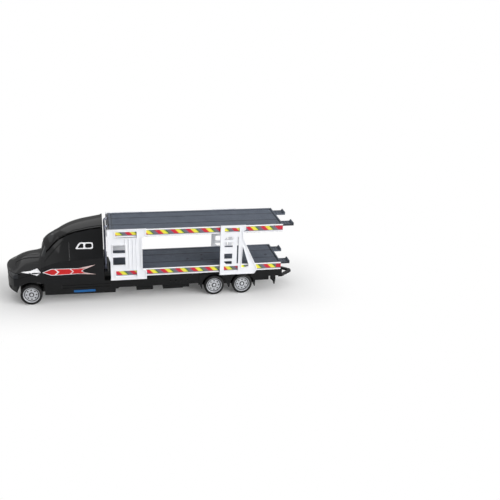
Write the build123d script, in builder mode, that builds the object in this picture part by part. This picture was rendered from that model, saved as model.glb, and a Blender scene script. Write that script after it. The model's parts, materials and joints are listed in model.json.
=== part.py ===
from build123d import *
import os

os.makedirs("parts", exist_ok=True)

# Toy car transporter truck. Millimetres, +Z up, floor at Z = 0, nose towards -X.
# Stations are distances behind the nose, heights are above the floor, left is -Y.

# Cab
cab_half_width = 26.0
cab_wall = 1.6
cab_base = 22.0
cab_gap = 6.3
nose_depth = 10.1
bumper_bottom = 12.4
bumper_top = 20.5
bumper_bar = 2.3
bumper_chamfer = 1.6
floor_gap = 0.4

# Decks
deck_front = 100.0
deck_length = 174.0
deck_half_width = cab_half_width
deck_depth = 8.2
lower_deck_top = 33.3
upper_deck_top = 75.2
deck_slab = 5.2
deck_wall = 2.0
deck_rib = 1.6
deck_rib_pitch = 29.0
deck_kerb = 2.3
deck_rear_kerb = 1.5
deck_recess = 0.6
deck_line_width = 0.9
deck_line_depth = 0.5
deck_line_y = 10.2
deck_rear = deck_front + deck_length

# Pull-out ramps
ramp_inner_y = 11.5
ramp_width = 11.5
ramp_thickness = 1.5
ramp_tray = 0.5
ramp_rim = 0.8
ramp_drop = 1.9
ramp_length = 112.0
ramp_lip_height = 1.5
ramp_lip_thickness = 0.9
ramp_cleat_pitch = 3.0
ramp_cleat_width = 0.5
ramp_cleats = 5
ramp_gap = 0.25
ramp_reach = {"upper": 12.3, "lower": 10.3}

# Chassis and hitch
chassis_plate = 1.8
chassis_tail = 2.0
spine_half_width = 9.0
spine_wall = 1.8
spine_bottom = 14.0
bearing_bottom = 8.0
bearing_length = 7.0
bearing_half_width = 13.0
sill_inset = 1.0
sill_thickness = 2.0
sill_bottom = 13.5
sill_rear_bottom = 17.5
sill_rear_length = 14.0
hitch_reach = 16.4
chassis_top = lower_deck_top - deck_depth
chassis_rear = deck_rear + chassis_tail
overall_length = chassis_rear + hitch_reach
half_length = overall_length / 2

# Running gear
tyre_radius = 10.4
tyre_width = 7.0
tyre_shoulder = 0.9
rim_radius = 8.0
wheel_proud = 0.5
wheel_outer_y = cab_half_width + wheel_proud
axle_radius = 1.0
axle_clearance = 0.06
axle_depth = 4.0
seat_clearance = 0.05
arch_clearance = 2.2
front_arch_clearance = 3.0
front_axle_station = 23.1
bogie_inset = 55.2
axle_spacing = 29.4
axle_height = tyre_radius
arch_radius = tyre_radius + arch_clearance
bogie_station = deck_rear - bogie_inset
# name, station of the axle
AXLES = (
    ("front", front_axle_station),
    ("rear1", bogie_station - axle_spacing / 2),
    ("rear2", bogie_station + axle_spacing / 2),
)

# Side panels and towers
panel_thickness = 1.2
panel_length = 35.3
panel_waist = 31.3
panel_above = 0.3
panel_below = 11.0
panel_rim = 1.1
panel_rim_height = 0.35
tower_lead = 9.4
panel_top = upper_deck_top + panel_above
panel_bottom = lower_deck_top - panel_below
upper_deck_bottom = upper_deck_top - deck_depth
tower_front = bogie_station - tower_lead

# Clearances between pieces that stay together
contact_gap = 0.1
seam_gap = 0.25
SIDES = {"left": -1, "right": 1}


def at(station):
    return station - half_length


def section_plane(station):
    return Plane(origin=(at(station), 0, 0), x_dir=(0, 1, 0), z_dir=(1, 0, 0))


# Looks from the left: the normal points to -Y, so an outward extrusion has the sign of -side
def side_plane(y):
    return Plane(origin=(0, y, 0), x_dir=(1, 0, 0), z_dir=(0, -1, 0))


def write(part, label):
    part.label = label
    export_step(part, f"parts/{label}.step")


# Hood sections: station, height of the shoulder, height of the crown
HOOD = (
    (0.0, 30.0, 34.8),
    (4.0, 31.0, 36.0),
    (10.0, 32.4, 39.9),
    (20.0, 33.4, 44.7),
    (36.0, 34.4, 50.6),
)
# Cabin sections: station, height of the belt, inset from the side and height of the eave, height of the crown
CABIN = (
    (33.5, 38.0, 6.0, 46.0, 54.8),
    (38.0, 40.0, 8.6, 50.0, 60.9),
    (44.0, 42.0, 11.0, 56.0, 65.6),
    (52.0, 44.0, 11.5, 64.6, 69.7),
    (66.0, 45.0, 9.4, 71.5, 75.7),
    (80.0, 45.5, 8.6, 74.4, 78.8),
    (deck_front - cab_gap, 46.0, 7.6, 76.3, 81.2),
)
# The roof rises steeply up to this section and flattens behind it
cabin_joint = 3
cabin_front = CABIN[0][0]
cab_rear = CABIN[-1][0]
cab_reach = cab_half_width + 2 * cab_wall
cab_tall = 90.0


def hood_solid(depth):
    half = cab_half_width - depth
    nose = nose_depth + depth
    with BuildPart() as hood:
        for station, shoulder, crown in HOOD:
            with BuildSketch(section_plane(station)):
                with BuildLine():
                    Polyline(
                        (half, shoulder - depth),
                        (half, bumper_top),
                        (-half, bumper_top),
                        (-half, shoulder - depth),
                    )
                    ThreePointArc((-half, shoulder - depth), (0, crown - depth), (half, shoulder - depth))
                make_face()
        loft()
        with BuildSketch(Plane.XY):
            with BuildLine():
                Polyline(
                    (at(nose), cab_reach),
                    (at(deck_front), cab_reach),
                    (at(deck_front), -cab_reach),
                    (at(nose), -cab_reach),
                )
                ThreePointArc((at(nose), -cab_reach), (at(depth), 0), (at(nose), cab_reach))
            make_face()
        extrude(amount=cab_tall, mode=Mode.INTERSECT)
    return hood.part


def cabin_solid(depth):
    half = cab_half_width - depth
    with BuildPart() as cabin:
        for rows in (CABIN[: cabin_joint + 1], CABIN[cabin_joint:]):
            for station, belt, inset, eave, crown in rows:
                edge = half - inset
                with BuildSketch(section_plane(station + (depth if station == cabin_front else 0))):
                    with BuildLine():
                        Polyline(
                            (edge, eave - depth),
                            (half, belt),
                            (half, cab_base),
                            (-half, cab_base),
                            (-half, belt),
                            (-edge, eave - depth),
                        )
                        ThreePointArc((-edge, eave - depth), (0, crown - depth), (edge, eave - depth))
                    make_face()
            loft()
    return cabin.part


# A prism across the cab from an outline of stations and heights
def across(outline, half_width):
    with BuildPart() as prism:
        with BuildSketch(side_plane(half_width)):
            with BuildLine():
                Polyline(*[(at(station), height) for station, height in outline], close=True)
            make_face()
        extrude(amount=2 * half_width)
    return prism.part


# A prism outwards on one side, from a distance to the middle
def outwards(outline, side, inner_y):
    with BuildPart() as prism:
        with BuildSketch(side_plane(side * inner_y)):
            with BuildLine():
                Polyline(*[(at(station), height) for station, height in outline], close=True)
            make_face()
        extrude(amount=-side * cab_reach)
    return prism.part


# Prisms upwards on both sides from an outline of stations and distances to the middle
def upwards(outline, trim=0.0):
    with BuildPart() as prism:
        with BuildSketch(Plane.XY.offset(bumper_top)):
            for side in SIDES.values():
                with BuildLine():
                    Polyline(*[(at(station), side * y) for station, y in outline], close=True)
                make_face()
            if trim > 0:
                offset(amount=-trim, mode=Mode.REPLACE)
        extrude(amount=cab_tall)
    return prism.part


# What is left of a cutter outside a body
def outside(cutter, body):
    with BuildPart() as rest:
        add(cutter)
        add(body, mode=Mode.SUBTRACT)
    return rest.part


# Hollow of the cab, open below: height, front station, inset from the side
HOLLOW = (
    (18.0, 12.0, cab_wall),
    (28.5, 12.0, cab_wall),
    (34.0, 34.0, 3.5),
    (44.0, 38.0, 6.0),
    (66.0, 56.0, 13.0),
    (70.0, 64.0, 14.0),
)
with BuildPart() as hollow:
    for height, front, inset in HOLLOW:
        with BuildSketch(Plane.XY.offset(height)):
            with Locations((at((front + cab_rear - cab_wall) / 2), 0)):
                Rectangle(cab_rear - cab_wall - front, 2 * (cab_half_width - inset))
    loft(ruled=True)

# The roof seam runs a little above the eave, from the brow over the windscreen to the rear
seam_lift = 0.7
brow_front = 32.0
brow_station = 36.0
brow_height = 57.8
brow_corner = 41.0
brow_corner_height = 53.2
SEAM = ((brow_corner, brow_corner_height),) + tuple((row[0], row[3] + seam_lift) for row in CABIN[2:])


def roof_region(lift):
    outline = [(station, height + lift) for station, height in SEAM]
    outline += [(deck_front, SEAM[-1][1] + lift), (deck_front, cab_tall), (brow_front, cab_tall)]
    outline += [(brow_front, brow_height + 1 + lift), (brow_station, brow_height + lift)]
    return across(outline, cab_reach)


# Windscreen: below the brow, above the hood, between the two front pillars
pillar_width = 1.3
screen_recess = 0.8
screen_depth = 3.4
screen_half = cab_half_width - CABIN[0][2] - pillar_width


def screen_region(trim):
    outline = (
        (brow_front, HOOD[-1][1]),
        (cabin_front + screen_depth, HOOD[-1][1]),
        (cabin_front + screen_depth, CABIN[0][3] + seam_lift + trim),
        (brow_corner - trim, brow_corner_height + trim),
        (brow_station - trim, brow_height - trim),
        (brow_front, brow_height + 1 - trim),
    )
    return across(outline, screen_half - trim)


# Shapes pressed into the hood, in plan on both sides
valley_depth = 0.5
crease_depth = 0.3
VALLEY = ((9.0, 7.2), (31.5, 11.5), (31.5, 18.8), (9.0, 14.2))
CREASE = ((9.0, 3.0), (31.5, 6.6), (31.5, 7.2), (9.0, 3.6))

# Headlamps wrap round the corners of the nose, each with a slot behind it
lamp_depth = 0.7
lamp_rim = 0.25
lamp_inner_y = 14.0
LAMP = ((-1.0, 28.6), (12.5, 28.2), (24.8, 31.4), (12.5, 33.4), (-1.0, 34.0))
LENS = ((-1.0, 28.8), (12.0, 28.4), (12.0, 33.2), (-1.0, 33.8))

# Grille: a recess in the nose with bars across it
grille_half = 10.5
grille_bottom = 22.6
grille_top = 32.4
grille_corner = 1.5
grille_depth = 1.1
grille_recess = 0.2
grille_bar = 0.8
grille_bars = 5
grille_middle = (grille_bottom + grille_top) / 2
grille_height = grille_top - grille_bottom - 2 * contact_gap
with BuildPart() as grille_cutter:
    with BuildSketch(section_plane(-1)):
        with Locations((0, grille_middle)):
            RectangleRounded(2 * grille_half, grille_top - grille_bottom, grille_corner)
    extrude(amount=nose_depth)

# Door outline and its handle, with a line below the roof seam
door_line = 0.4
door_depth = 0.3
eave_drop = 0.8
eave_line = 0.5
handle_length = 3.8
handle_height = 1.2
DOOR = ((37.6, 26.2), (61.5, 26.2), (61.5, 62.0), (54.5, 62.0), (46.5, 53.6), (37.6, 44.6))
with BuildPart() as door_cutter:
    with BuildSketch(side_plane(cab_reach)):
        with BuildLine():
            Polyline(*[(at(station), height) for station, height in DOOR], close=True)
        make_face()
        offset(amount=-door_line, mode=Mode.SUBTRACT)
        with Locations((at(57.5), 42.2)):
            Rectangle(handle_length, handle_height)
    extrude(amount=2 * cab_reach)
with BuildPart() as eave_cutter:
    add(roof_region(-eave_drop - eave_line))
    add(roof_region(-eave_drop), mode=Mode.SUBTRACT)

flare_width = 1.7
flare_height = 0.4
front_arch_radius = tyre_radius + front_arch_clearance
with BuildPart() as cab_shell:
    add(hood_solid(0))
    add(outside(upwards(VALLEY), hood_solid(valley_depth)), mode=Mode.SUBTRACT)
    add(outside(upwards(CREASE), hood_solid(crease_depth)), mode=Mode.SUBTRACT)
    add(outside(grille_cutter.part, hood_solid(grille_depth)), mode=Mode.SUBTRACT)
    for side in SIDES.values():
        add(outside(outwards(LAMP, side, lamp_inner_y), hood_solid(lamp_depth)), mode=Mode.SUBTRACT)
    add(cabin_solid(0))
    for cutter in (door_cutter.part, eave_cutter.part):
        add(outside(cutter, cabin_solid(door_depth)), mode=Mode.SUBTRACT)
    add(outside(screen_region(0), hood_solid(0)), mode=Mode.SUBTRACT)
    add(hollow.part, mode=Mode.SUBTRACT)
    add(roof_region(0), mode=Mode.SUBTRACT)
    for side in SIDES.values():
        with BuildSketch(side_plane(side * (cab_half_width + flare_height))):
            with Locations((at(front_axle_station), axle_height)):
                Circle(front_arch_radius + flare_width)
            with Locations((at(front_axle_station), 0)):
                Rectangle(deck_front, 2 * cab_base, mode=Mode.SUBTRACT)
        extrude(amount=side * (flare_height + cab_wall))
    with BuildSketch(side_plane(cab_reach)):
        with Locations((at(front_axle_station), axle_height)):
            Circle(front_arch_radius)
        with Locations((at(front_axle_station + deck_front / 2), 0)):
            Rectangle(deck_front, 2 * cab_base)
    extrude(amount=2 * cab_reach, mode=Mode.SUBTRACT)
write(cab_shell.part, "cab_shell")

# Roof with a lip along its rear edge and two lights in its front
roof_lip = 1.8
roof_lip_height = 0.4
glass_depth = 0.5
glass_rim = 0.15
ROOF_LIGHT = ((40.4, 2.4), (46.2, 1.9), (47.0, 8.5), (45.2, 12.4), (42.0, 11.9))
with BuildPart() as rear_lip:
    add(cabin_solid(-roof_lip_height))
    with BuildSketch(section_plane(cab_rear - roof_lip)):
        Rectangle(4 * cab_tall, 4 * cab_tall)
    extrude(amount=roof_lip, mode=Mode.INTERSECT)
with BuildPart() as roof_fairing:
    add(cabin_solid(0))
    add(rear_lip.part)
    add(outside(upwards(ROOF_LIGHT), cabin_solid(glass_depth)), mode=Mode.SUBTRACT)
    add(hollow.part, mode=Mode.SUBTRACT)
    add(roof_region(seam_gap), mode=Mode.INTERSECT)
write(roof_fairing.part, "roof_fairing")

with BuildPart() as roof_lights:
    add(cabin_solid(glass_rim))
    add(upwards(ROOF_LIGHT, contact_gap), mode=Mode.INTERSECT)
    add(cabin_solid(glass_depth - contact_gap / 2), mode=Mode.SUBTRACT)
write(roof_lights.part, "roof_lights")

with BuildPart() as windscreen:
    add(cabin_solid(screen_recess))
    add(screen_region(contact_gap), mode=Mode.INTERSECT)
    add(hood_solid(-contact_gap), mode=Mode.SUBTRACT)
write(windscreen.part, "windscreen")

for side_name, side in SIDES.items():
    with BuildPart() as headlamp:
        add(hood_solid(lamp_rim))
        add(outwards(LENS, side, lamp_inner_y + contact_gap), mode=Mode.INTERSECT)
        add(hood_solid(lamp_depth - contact_gap / 2), mode=Mode.SUBTRACT)
    write(headlamp.part, f"headlamp_{side_name}")

with BuildPart() as bar_cutter:
    with BuildSketch(section_plane(-1)):
        with Locations((0, grille_middle)):
            with GridLocations(1, (grille_height - grille_bar) / (grille_bars - 1), 1, grille_bars):
                Rectangle(2 * (grille_half - grille_corner), grille_bar)
            Rectangle(grille_bar, grille_height)
    extrude(amount=nose_depth)
with BuildPart() as grille:
    add(hood_solid(grille_recess))
    add(bar_cutter.part, mode=Mode.INTERSECT)
    add(hood_solid(grille_depth - contact_gap / 2), mode=Mode.SUBTRACT)
write(grille.part, "grille")

# Bumper: a curved bar with an intake and two round lamp pockets
intake_half = 8.0
intake_height = 3.2
intake_depth = 1.7
pocket_y = 16.0
pocket_radius = 1.6
pocket_station = 4.6
bumper_middle = (bumper_bottom + bumper_top) / 2
chassis_front = nose_depth + bumper_bar
with BuildPart() as front_bumper:
    with BuildSketch(Plane.XY.offset(bumper_bottom)):
        with BuildLine():
            Polyline(
                (at(nose_depth), cab_half_width),
                (at(chassis_front), cab_half_width),
                (at(chassis_front), -cab_half_width),
                (at(nose_depth), -cab_half_width),
            )
            ThreePointArc((at(nose_depth), -cab_half_width), (at(0), 0), (at(nose_depth), cab_half_width))
        make_face()
    extrude(amount=bumper_top - bumper_bottom)
    chamfer(front_bumper.edges().filter_by(GeomType.CIRCLE).group_by(Axis.Z)[0], bumper_chamfer)
    with BuildSketch(section_plane(-1)):
        with Locations((0, bumper_middle)):
            SlotOverall(2 * intake_half, intake_height)
    extrude(amount=1 + intake_depth, mode=Mode.SUBTRACT)
    with BuildSketch(section_plane(-1)):
        with Locations((-pocket_y, bumper_middle), (pocket_y, bumper_middle)):
            Circle(pocket_radius)
    extrude(amount=1 + pocket_station, mode=Mode.SUBTRACT)
    with BuildSketch(side_plane(cab_half_width)):
        with Locations((at(front_axle_station), axle_height)):
            Circle(front_arch_radius)
    extrude(amount=2 * cab_half_width, mode=Mode.SUBTRACT)
write(front_bumper.part, "front_bumper")

# Box behind the cab: a low tank across the frame and an upright in the middle
cab_floor_top = cab_base
tank_top = 29.0
tank_half_width = 20.0
tank_gap = 0.3
tank_corner = 0.8
upright_half_width = 8.0
upright_depth = 3.2
upright_foot = cab_floor_top + tank_corner
upright_top = 42.0
upright_flat = 1.0
upright_slope = 2.6
upright_front = cab_rear + tank_gap
with BuildPart() as tank_box:
    with BuildSketch(side_plane(tank_half_width)):
        with Locations((at((cab_rear + deck_front) / 2), (cab_floor_top + tank_top) / 2)):
            RectangleRounded(cab_gap - 2 * tank_gap, tank_top - cab_floor_top, tank_corner)
    extrude(amount=2 * tank_half_width)
    with BuildSketch(side_plane(upright_half_width)):
        with BuildLine():
            Polyline(
                (at(upright_front), upright_foot),
                (at(upright_front + upright_depth), upright_foot),
                (at(upright_front + upright_depth), upright_top - upright_slope),
                (at(upright_front + upright_flat), upright_top),
                (at(upright_front), upright_top),
                close=True,
            )
        make_face()
    extrude(amount=2 * upright_half_width)
write(tank_box.part, "tank_box")

# Exhaust stacks on the tank, tips turned rearwards
stack_radius = 0.95
stack_y = 12.0
stack_top = 72.6
stack_bend = 1.7
stack_tip = 0.7
stack_collar_radius = 1.5
stack_collar_height = 3.0
stack_station = upright_front + stack_collar_radius + contact_gap
with BuildPart() as exhaust_stacks:
    for side in SIDES.values():
        with BuildLine():
            Line((at(stack_station), side * stack_y, tank_top), (at(stack_station), side * stack_y, stack_top))
            RadiusArc(
                (at(stack_station), side * stack_y, stack_top),
                (at(stack_station + stack_bend), side * stack_y, stack_top + stack_bend),
                stack_bend,
            )
            Line(
                (at(stack_station + stack_bend), side * stack_y, stack_top + stack_bend),
                (at(stack_station + stack_bend + stack_tip), side * stack_y, stack_top + stack_bend),
            )
        with BuildSketch(Plane.XY.offset(tank_top)):
            with Locations((at(stack_station), side * stack_y)):
                Circle(stack_radius)
        sweep()
        with BuildSketch(Plane.XY.offset(tank_top)):
            with Locations((at(stack_station), side * stack_y)):
                Circle(stack_collar_radius)
        extrude(amount=stack_collar_height)
write(exhaust_stacks.part, "exhaust_stacks")


# A deck: a ribbed plate with kerbs round its floor and two channels for the ramps
def deck(top, name):
    reach = ramp_reach[name]
    channel_length = ramp_length - reach + ramp_gap
    channel_bottom = top - ramp_drop - ramp_thickness - ramp_gap
    middle = at(deck_front + deck_length / 2)
    floor_length = deck_length - deck_kerb - deck_rear_kerb
    floor_middle = at(deck_front + deck_kerb + floor_length / 2)
    floor_width = 2 * (deck_half_width - deck_kerb)
    with BuildPart() as plate:
        with BuildSketch(Plane.XY.offset(top - deck_slab)):
            with Locations((middle, 0)):
                Rectangle(deck_length, 2 * deck_half_width)
        extrude(amount=deck_slab)
        with BuildSketch(Plane.XY.offset(top - deck_depth)):
            with Locations((middle, 0)):
                Rectangle(deck_length, 2 * deck_half_width)
                Rectangle(deck_length - 2 * deck_wall, 2 * (deck_half_width - deck_wall), mode=Mode.SUBTRACT)
                with GridLocations(deck_rib_pitch, 1, int(deck_length / deck_rib_pitch) - 1, 1):
                    Rectangle(deck_rib, 2 * deck_half_width)
        extrude(amount=deck_depth - deck_slab)
        with BuildSketch(Plane.XY.offset(channel_bottom)):
            for side in SIDES.values():
                with Locations((at(deck_rear - channel_length / 2), side * (ramp_inner_y + ramp_width / 2))):
                    Rectangle(channel_length, ramp_width + 2 * ramp_gap)
        extrude(amount=ramp_thickness + 2 * ramp_gap, mode=Mode.SUBTRACT)
        with BuildSketch(Plane.XY.offset(top - deck_recess)):
            with Locations((floor_middle, 0)):
                Rectangle(floor_length, floor_width)
        extrude(amount=deck_recess, mode=Mode.SUBTRACT)
        with BuildSketch(Plane.XY.offset(top - deck_recess - deck_line_depth)):
            with Locations((floor_middle, 0)):
                Rectangle(floor_length, floor_width)
                Rectangle(floor_length - 2 * deck_line_width, floor_width - 2 * deck_line_width, mode=Mode.SUBTRACT)
            with Locations((floor_middle, -deck_line_y), (floor_middle, deck_line_y)):
                Rectangle(floor_length, deck_line_width)
        extrude(amount=deck_line_depth, mode=Mode.SUBTRACT)
    return plate.part


for name, top in (("lower", lower_deck_top), ("upper", upper_deck_top)):
    write(deck(top, name), f"{name}_deck")

# Ramps: shallow trays with cleats near the end that shows, and an upturned lip
for name, top in (("lower", lower_deck_top), ("upper", upper_deck_top)):
    ramp_top = top - ramp_drop
    end = deck_rear + ramp_reach[name]
    for side_name, side in SIDES.items():
        ramp_y = side * (ramp_inner_y + ramp_width / 2)
        with BuildPart() as ramp:
            with BuildSketch(Plane.XY.offset(ramp_top - ramp_thickness)):
                with Locations((at(end - ramp_length / 2), ramp_y)):
                    Rectangle(ramp_length, ramp_width)
            extrude(amount=ramp_thickness)
            with BuildSketch(Plane.XY.offset(ramp_top - ramp_tray)):
                with Locations((at(end - ramp_length / 2), ramp_y)):
                    Rectangle(ramp_length - 2 * ramp_rim, ramp_width - 2 * ramp_rim)
                with Locations((at(end - ramp_lip_thickness - ramp_cleats * ramp_cleat_pitch / 2), ramp_y)):
                    with GridLocations(ramp_cleat_pitch, 1, ramp_cleats, 1):
                        Rectangle(ramp_cleat_width, ramp_width, mode=Mode.SUBTRACT)
            extrude(amount=ramp_tray, mode=Mode.SUBTRACT)
            with BuildSketch(side_plane(ramp_y + ramp_width / 2)):
                with BuildLine():
                    Polyline(
                        (at(end), ramp_top),
                        (at(end), ramp_top + ramp_lip_height),
                        (at(end - ramp_lip_thickness), ramp_top + ramp_lip_height),
                        (at(end - 2 * ramp_lip_thickness), ramp_top),
                        close=True,
                    )
                make_face()
            extrude(amount=ramp_width)
        write(ramp.part, f"ramp_{name}_{side_name}")

# Chassis: a tray under the lower deck, a floor under the cab, a hollow spine with axle bearings
sill_outer_y = deck_half_width - sill_inset
cab_floor_half_width = cab_half_width - cab_wall - floor_gap
tank_support = 4.0
skirt_rear = deck_front + 7.6
guard_reach_front = 30.5
guard_reach_rear = 28.7
guard_front = bogie_station - guard_reach_front
guard_rear = bogie_station + guard_reach_rear
sill_step = chassis_rear - sill_rear_length
sill_knob_radius = 0.9
sill_knob_height = 0.5
sill_knob_z = 17.3
# knobs on the sill, behind the front of the deck
KNOBS = (59.5, 70.0, 77.4)
with BuildPart() as chassis_frame:
    with BuildSketch(Plane.XY.offset(chassis_top - chassis_plate)):
        with Locations((at((deck_front + chassis_rear) / 2), 0)):
            Rectangle(chassis_rear - deck_front, 2 * sill_outer_y)
    extrude(amount=chassis_plate)
    with BuildSketch(Plane.XY.offset(cab_floor_top - chassis_plate)):
        with Locations((at((chassis_front + deck_front + tank_support) / 2), 0)):
            Rectangle(deck_front + tank_support - chassis_front, 2 * cab_floor_half_width)
        for side in SIDES.values():
            with Locations((at(front_axle_station), side * (wheel_outer_y - tyre_width / 2))):
                Rectangle(2 * front_arch_radius, tyre_width + 2 * arch_clearance, mode=Mode.SUBTRACT)
    extrude(amount=chassis_plate)
    with BuildSketch(Plane.XY.offset(spine_bottom)):
        with Locations((at((chassis_front + deck_front + tank_support) / 2), 0)):
            Rectangle(deck_front + tank_support - chassis_front, 2 * spine_half_width)
    extrude(amount=cab_floor_top - spine_bottom)
    with BuildSketch(Plane.XY.offset(spine_bottom)):
        with Locations((at((deck_front + chassis_rear) / 2), 0)):
            Rectangle(chassis_rear - deck_front, 2 * spine_half_width)
    extrude(amount=chassis_top - spine_bottom)
    with BuildSketch(Plane.XY.offset(spine_bottom)):
        with Locations((at((chassis_front + chassis_rear) / 2), 0)):
            Rectangle(chassis_rear - chassis_front - 2 * spine_wall, 2 * (spine_half_width - spine_wall))
    extrude(amount=cab_floor_top - chassis_plate - spine_bottom, mode=Mode.SUBTRACT)
    for side in SIDES.values():
        with BuildSketch(side_plane(side * sill_outer_y)):
            with BuildLine():
                Polyline(
                    (at(skirt_rear), sill_bottom),
                    (at(guard_front), sill_bottom),
                    (at(guard_front), chassis_top),
                    (at(skirt_rear), chassis_top),
                    close=True,
                )
            make_face()
            with BuildLine():
                Polyline(
                    (at(guard_rear), sill_bottom),
                    (at(sill_step), sill_bottom),
                    (at(sill_step), sill_rear_bottom),
                    (at(chassis_rear), sill_rear_bottom),
                    (at(chassis_rear), chassis_top),
                    (at(guard_rear), chassis_top),
                    close=True,
                )
            make_face()
        extrude(amount=side * sill_thickness)
        with BuildSketch(side_plane(side * sill_outer_y)):
            with Locations(*[(at(deck_front + place), sill_knob_z) for place in KNOBS]):
                Circle(sill_knob_radius)
        extrude(amount=-side * sill_knob_height)
    for _, station in AXLES:
        with BuildSketch(Plane.XY.offset(bearing_bottom)):
            with Locations((at(station), 0)):
                Rectangle(bearing_length, 2 * bearing_half_width)
        extrude(amount=cab_floor_top - bearing_bottom)
        with BuildSketch(side_plane(bearing_half_width + 1)):
            with Locations((at(station), axle_height)):
                Circle(axle_radius + axle_clearance)
        extrude(amount=2 * bearing_half_width + 2, mode=Mode.SUBTRACT)
write(chassis_frame.part, "chassis_frame")

# Mudguards: a side plate with an arch over each wheel, arch liners and hanging flaps
guard_inset = 0.2
guard_inner_y = 17.5
guard_plate = 1.4
guard_liner = 1.2
flap_bottom = 7.4
flap_rise = 6.0
flap_tip = 0.4
guard_outer_y = deck_half_width - guard_inset
guard_top = chassis_top - chassis_plate
# flaps: first and last station at the top and station of the tip
FLAPS = (
    (guard_front, guard_front + 4.2, guard_front + 3.2),
    (bogie_station - 2.4, bogie_station + 2.4, bogie_station + 0.8),
    (guard_rear - 3.6, guard_rear, guard_rear - 0.6),
)
with BuildSketch() as guard_profile:
    with Locations((at((guard_front + guard_rear) / 2), (flap_bottom + flap_rise + guard_top) / 2)):
        Rectangle(guard_rear - guard_front, guard_top - flap_bottom - flap_rise)
    for first, last, tip in FLAPS:
        with BuildLine():
            Polyline(
                (at(first), flap_bottom + flap_rise),
                (at(last), flap_bottom + flap_rise),
                (at(tip + flap_tip), flap_bottom),
                (at(tip - flap_tip), flap_bottom),
                close=True,
            )
        make_face()
    with Locations(*[(at(station), axle_height) for _, station in AXLES[1:]]):
        Circle(arch_radius, mode=Mode.SUBTRACT)
with BuildSketch() as liner_profile:
    add(guard_profile.sketch)
    with Locations(*[(at(station), axle_height) for _, station in AXLES[1:]]):
        Circle(arch_radius + guard_liner, mode=Mode.INTERSECT)
for side_name, side in SIDES.items():
    with BuildPart() as mudguard:
        with BuildSketch(side_plane(side * guard_outer_y)):
            add(guard_profile.sketch)
        extrude(amount=side * guard_plate)
        with BuildSketch(side_plane(side * guard_outer_y)):
            add(liner_profile.sketch)
        extrude(amount=side * (guard_outer_y - guard_inner_y))
    write(mudguard.part, f"mudguard_{side_name}")

# Skirt below each cab door, with two step slots, a round boss at its rear end and an apron behind the front wheel
skirt_front_bottom = 9.6
skirt_rear_bottom = 8.8
step_depth = 0.6
step_front = 52.0
step_rear = 99.0
STEPS = (16.4, 19.2)
step_height = 1.6
boss_radius = 1.5
boss_height = 0.4
boss_z = 11.8
skirt_lead = 0.4
skirt_front = front_axle_station + arch_radius + skirt_lead
apron_thickness = 1.4
apron_inner_y = 14.0
apron_top = cab_floor_top - chassis_plate
apron_middle = (apron_inner_y + cab_floor_half_width) / 2
for side_name, side in SIDES.items():
    with BuildPart() as skirt:
        with BuildSketch(section_plane(skirt_front)):
            with Locations((side * apron_middle, (skirt_front_bottom + apron_top) / 2)):
                Rectangle(cab_floor_half_width - apron_inner_y, apron_top - skirt_front_bottom)
        extrude(amount=apron_thickness)
        with BuildSketch(side_plane(side * cab_half_width)):
            with BuildLine():
                Polyline(
                    (at(skirt_front), skirt_front_bottom),
                    (at(deck_front + 4.0), skirt_rear_bottom),
                    (at(deck_front + 4.6), sill_bottom),
                    (at(skirt_rear), sill_rear_bottom),
                    (at(skirt_rear), cab_floor_top),
                    (at(skirt_front), cab_floor_top),
                    close=True,
                )
            make_face()
            with Locations((at(front_axle_station), axle_height)):
                Circle(arch_radius, mode=Mode.SUBTRACT)
        extrude(amount=side * (cab_half_width - cab_floor_half_width))
        with BuildSketch(side_plane(side * cab_half_width)):
            with Locations(*[(at((step_front + step_rear) / 2), height) for height in STEPS]):
                SlotOverall(step_rear - step_front, step_height)
        extrude(amount=side * step_depth, mode=Mode.SUBTRACT)
        with BuildSketch(side_plane(side * cab_half_width)):
            with Locations((at(deck_front - boss_radius), boss_z)):
                Circle(boss_radius)
        extrude(amount=-side * boss_height)
    write(skirt.part, f"side_skirt_{side_name}")

# Boxes under the sills: first and last place behind the deck's front, bottom
BOXES = (
    (25.0, 41.5, 9.4),
    (51.7, 71.8, 9.0),
    (71.8, 78.4, 10.2),
)
box_width = 8.0
box_edge = 0.6
lid_line = 0.4
with BuildPart() as under_boxes:
    for first, last, bottom in BOXES:
        for side in SIDES.values():
            with BuildSketch(Plane.XY.offset(bottom)):
                with Locations((at(deck_front + (first + last) / 2), side * (sill_outer_y - box_width / 2))):
                    Rectangle(last - first, box_width)
            extrude(amount=sill_bottom - bottom)
    chamfer(under_boxes.edges().filter_by(Axis.X).group_by(Axis.Z)[0], box_edge)
    for side in SIDES.values():
        with BuildSketch(side_plane(side * sill_outer_y)):
            for first, last, bottom in BOXES:
                with Locations((at(deck_front + (first + last) / 2), sill_bottom - 2 * lid_line)):
                    Rectangle(last - first, lid_line)
        extrude(amount=side * lid_line, mode=Mode.SUBTRACT)
write(under_boxes.part, "under_boxes")

# Posts of the rear bumper, hollowed along their front edge
post_place = 6.6
post_width = 5.1
post_bottom = 8.0
post_depth = 3.0
post_taper = 0.6
post_tip = 1.6
post_waist = 2.4
post_rear = chassis_rear - post_place
with BuildPart() as rear_posts:
    for side in SIDES.values():
        with BuildSketch(side_plane(side * sill_outer_y)):
            with BuildLine():
                Polyline(
                    (at(post_rear - post_width), sill_rear_bottom),
                    (at(post_rear), sill_rear_bottom),
                    (at(post_rear), sill_bottom),
                    (at(post_rear - post_taper), post_bottom),
                    (at(post_rear - post_tip), post_bottom),
                )
                ThreePointArc(
                    (at(post_rear - post_tip), post_bottom),
                    (at(post_rear - post_waist), (post_bottom + sill_bottom) / 2),
                    (at(post_rear - post_width), sill_bottom),
                )
                Line((at(post_rear - post_width), sill_bottom), (at(post_rear - post_width), sill_rear_bottom))
            make_face()
        extrude(amount=side * post_depth)
write(rear_posts.part, "rear_posts")

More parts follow.
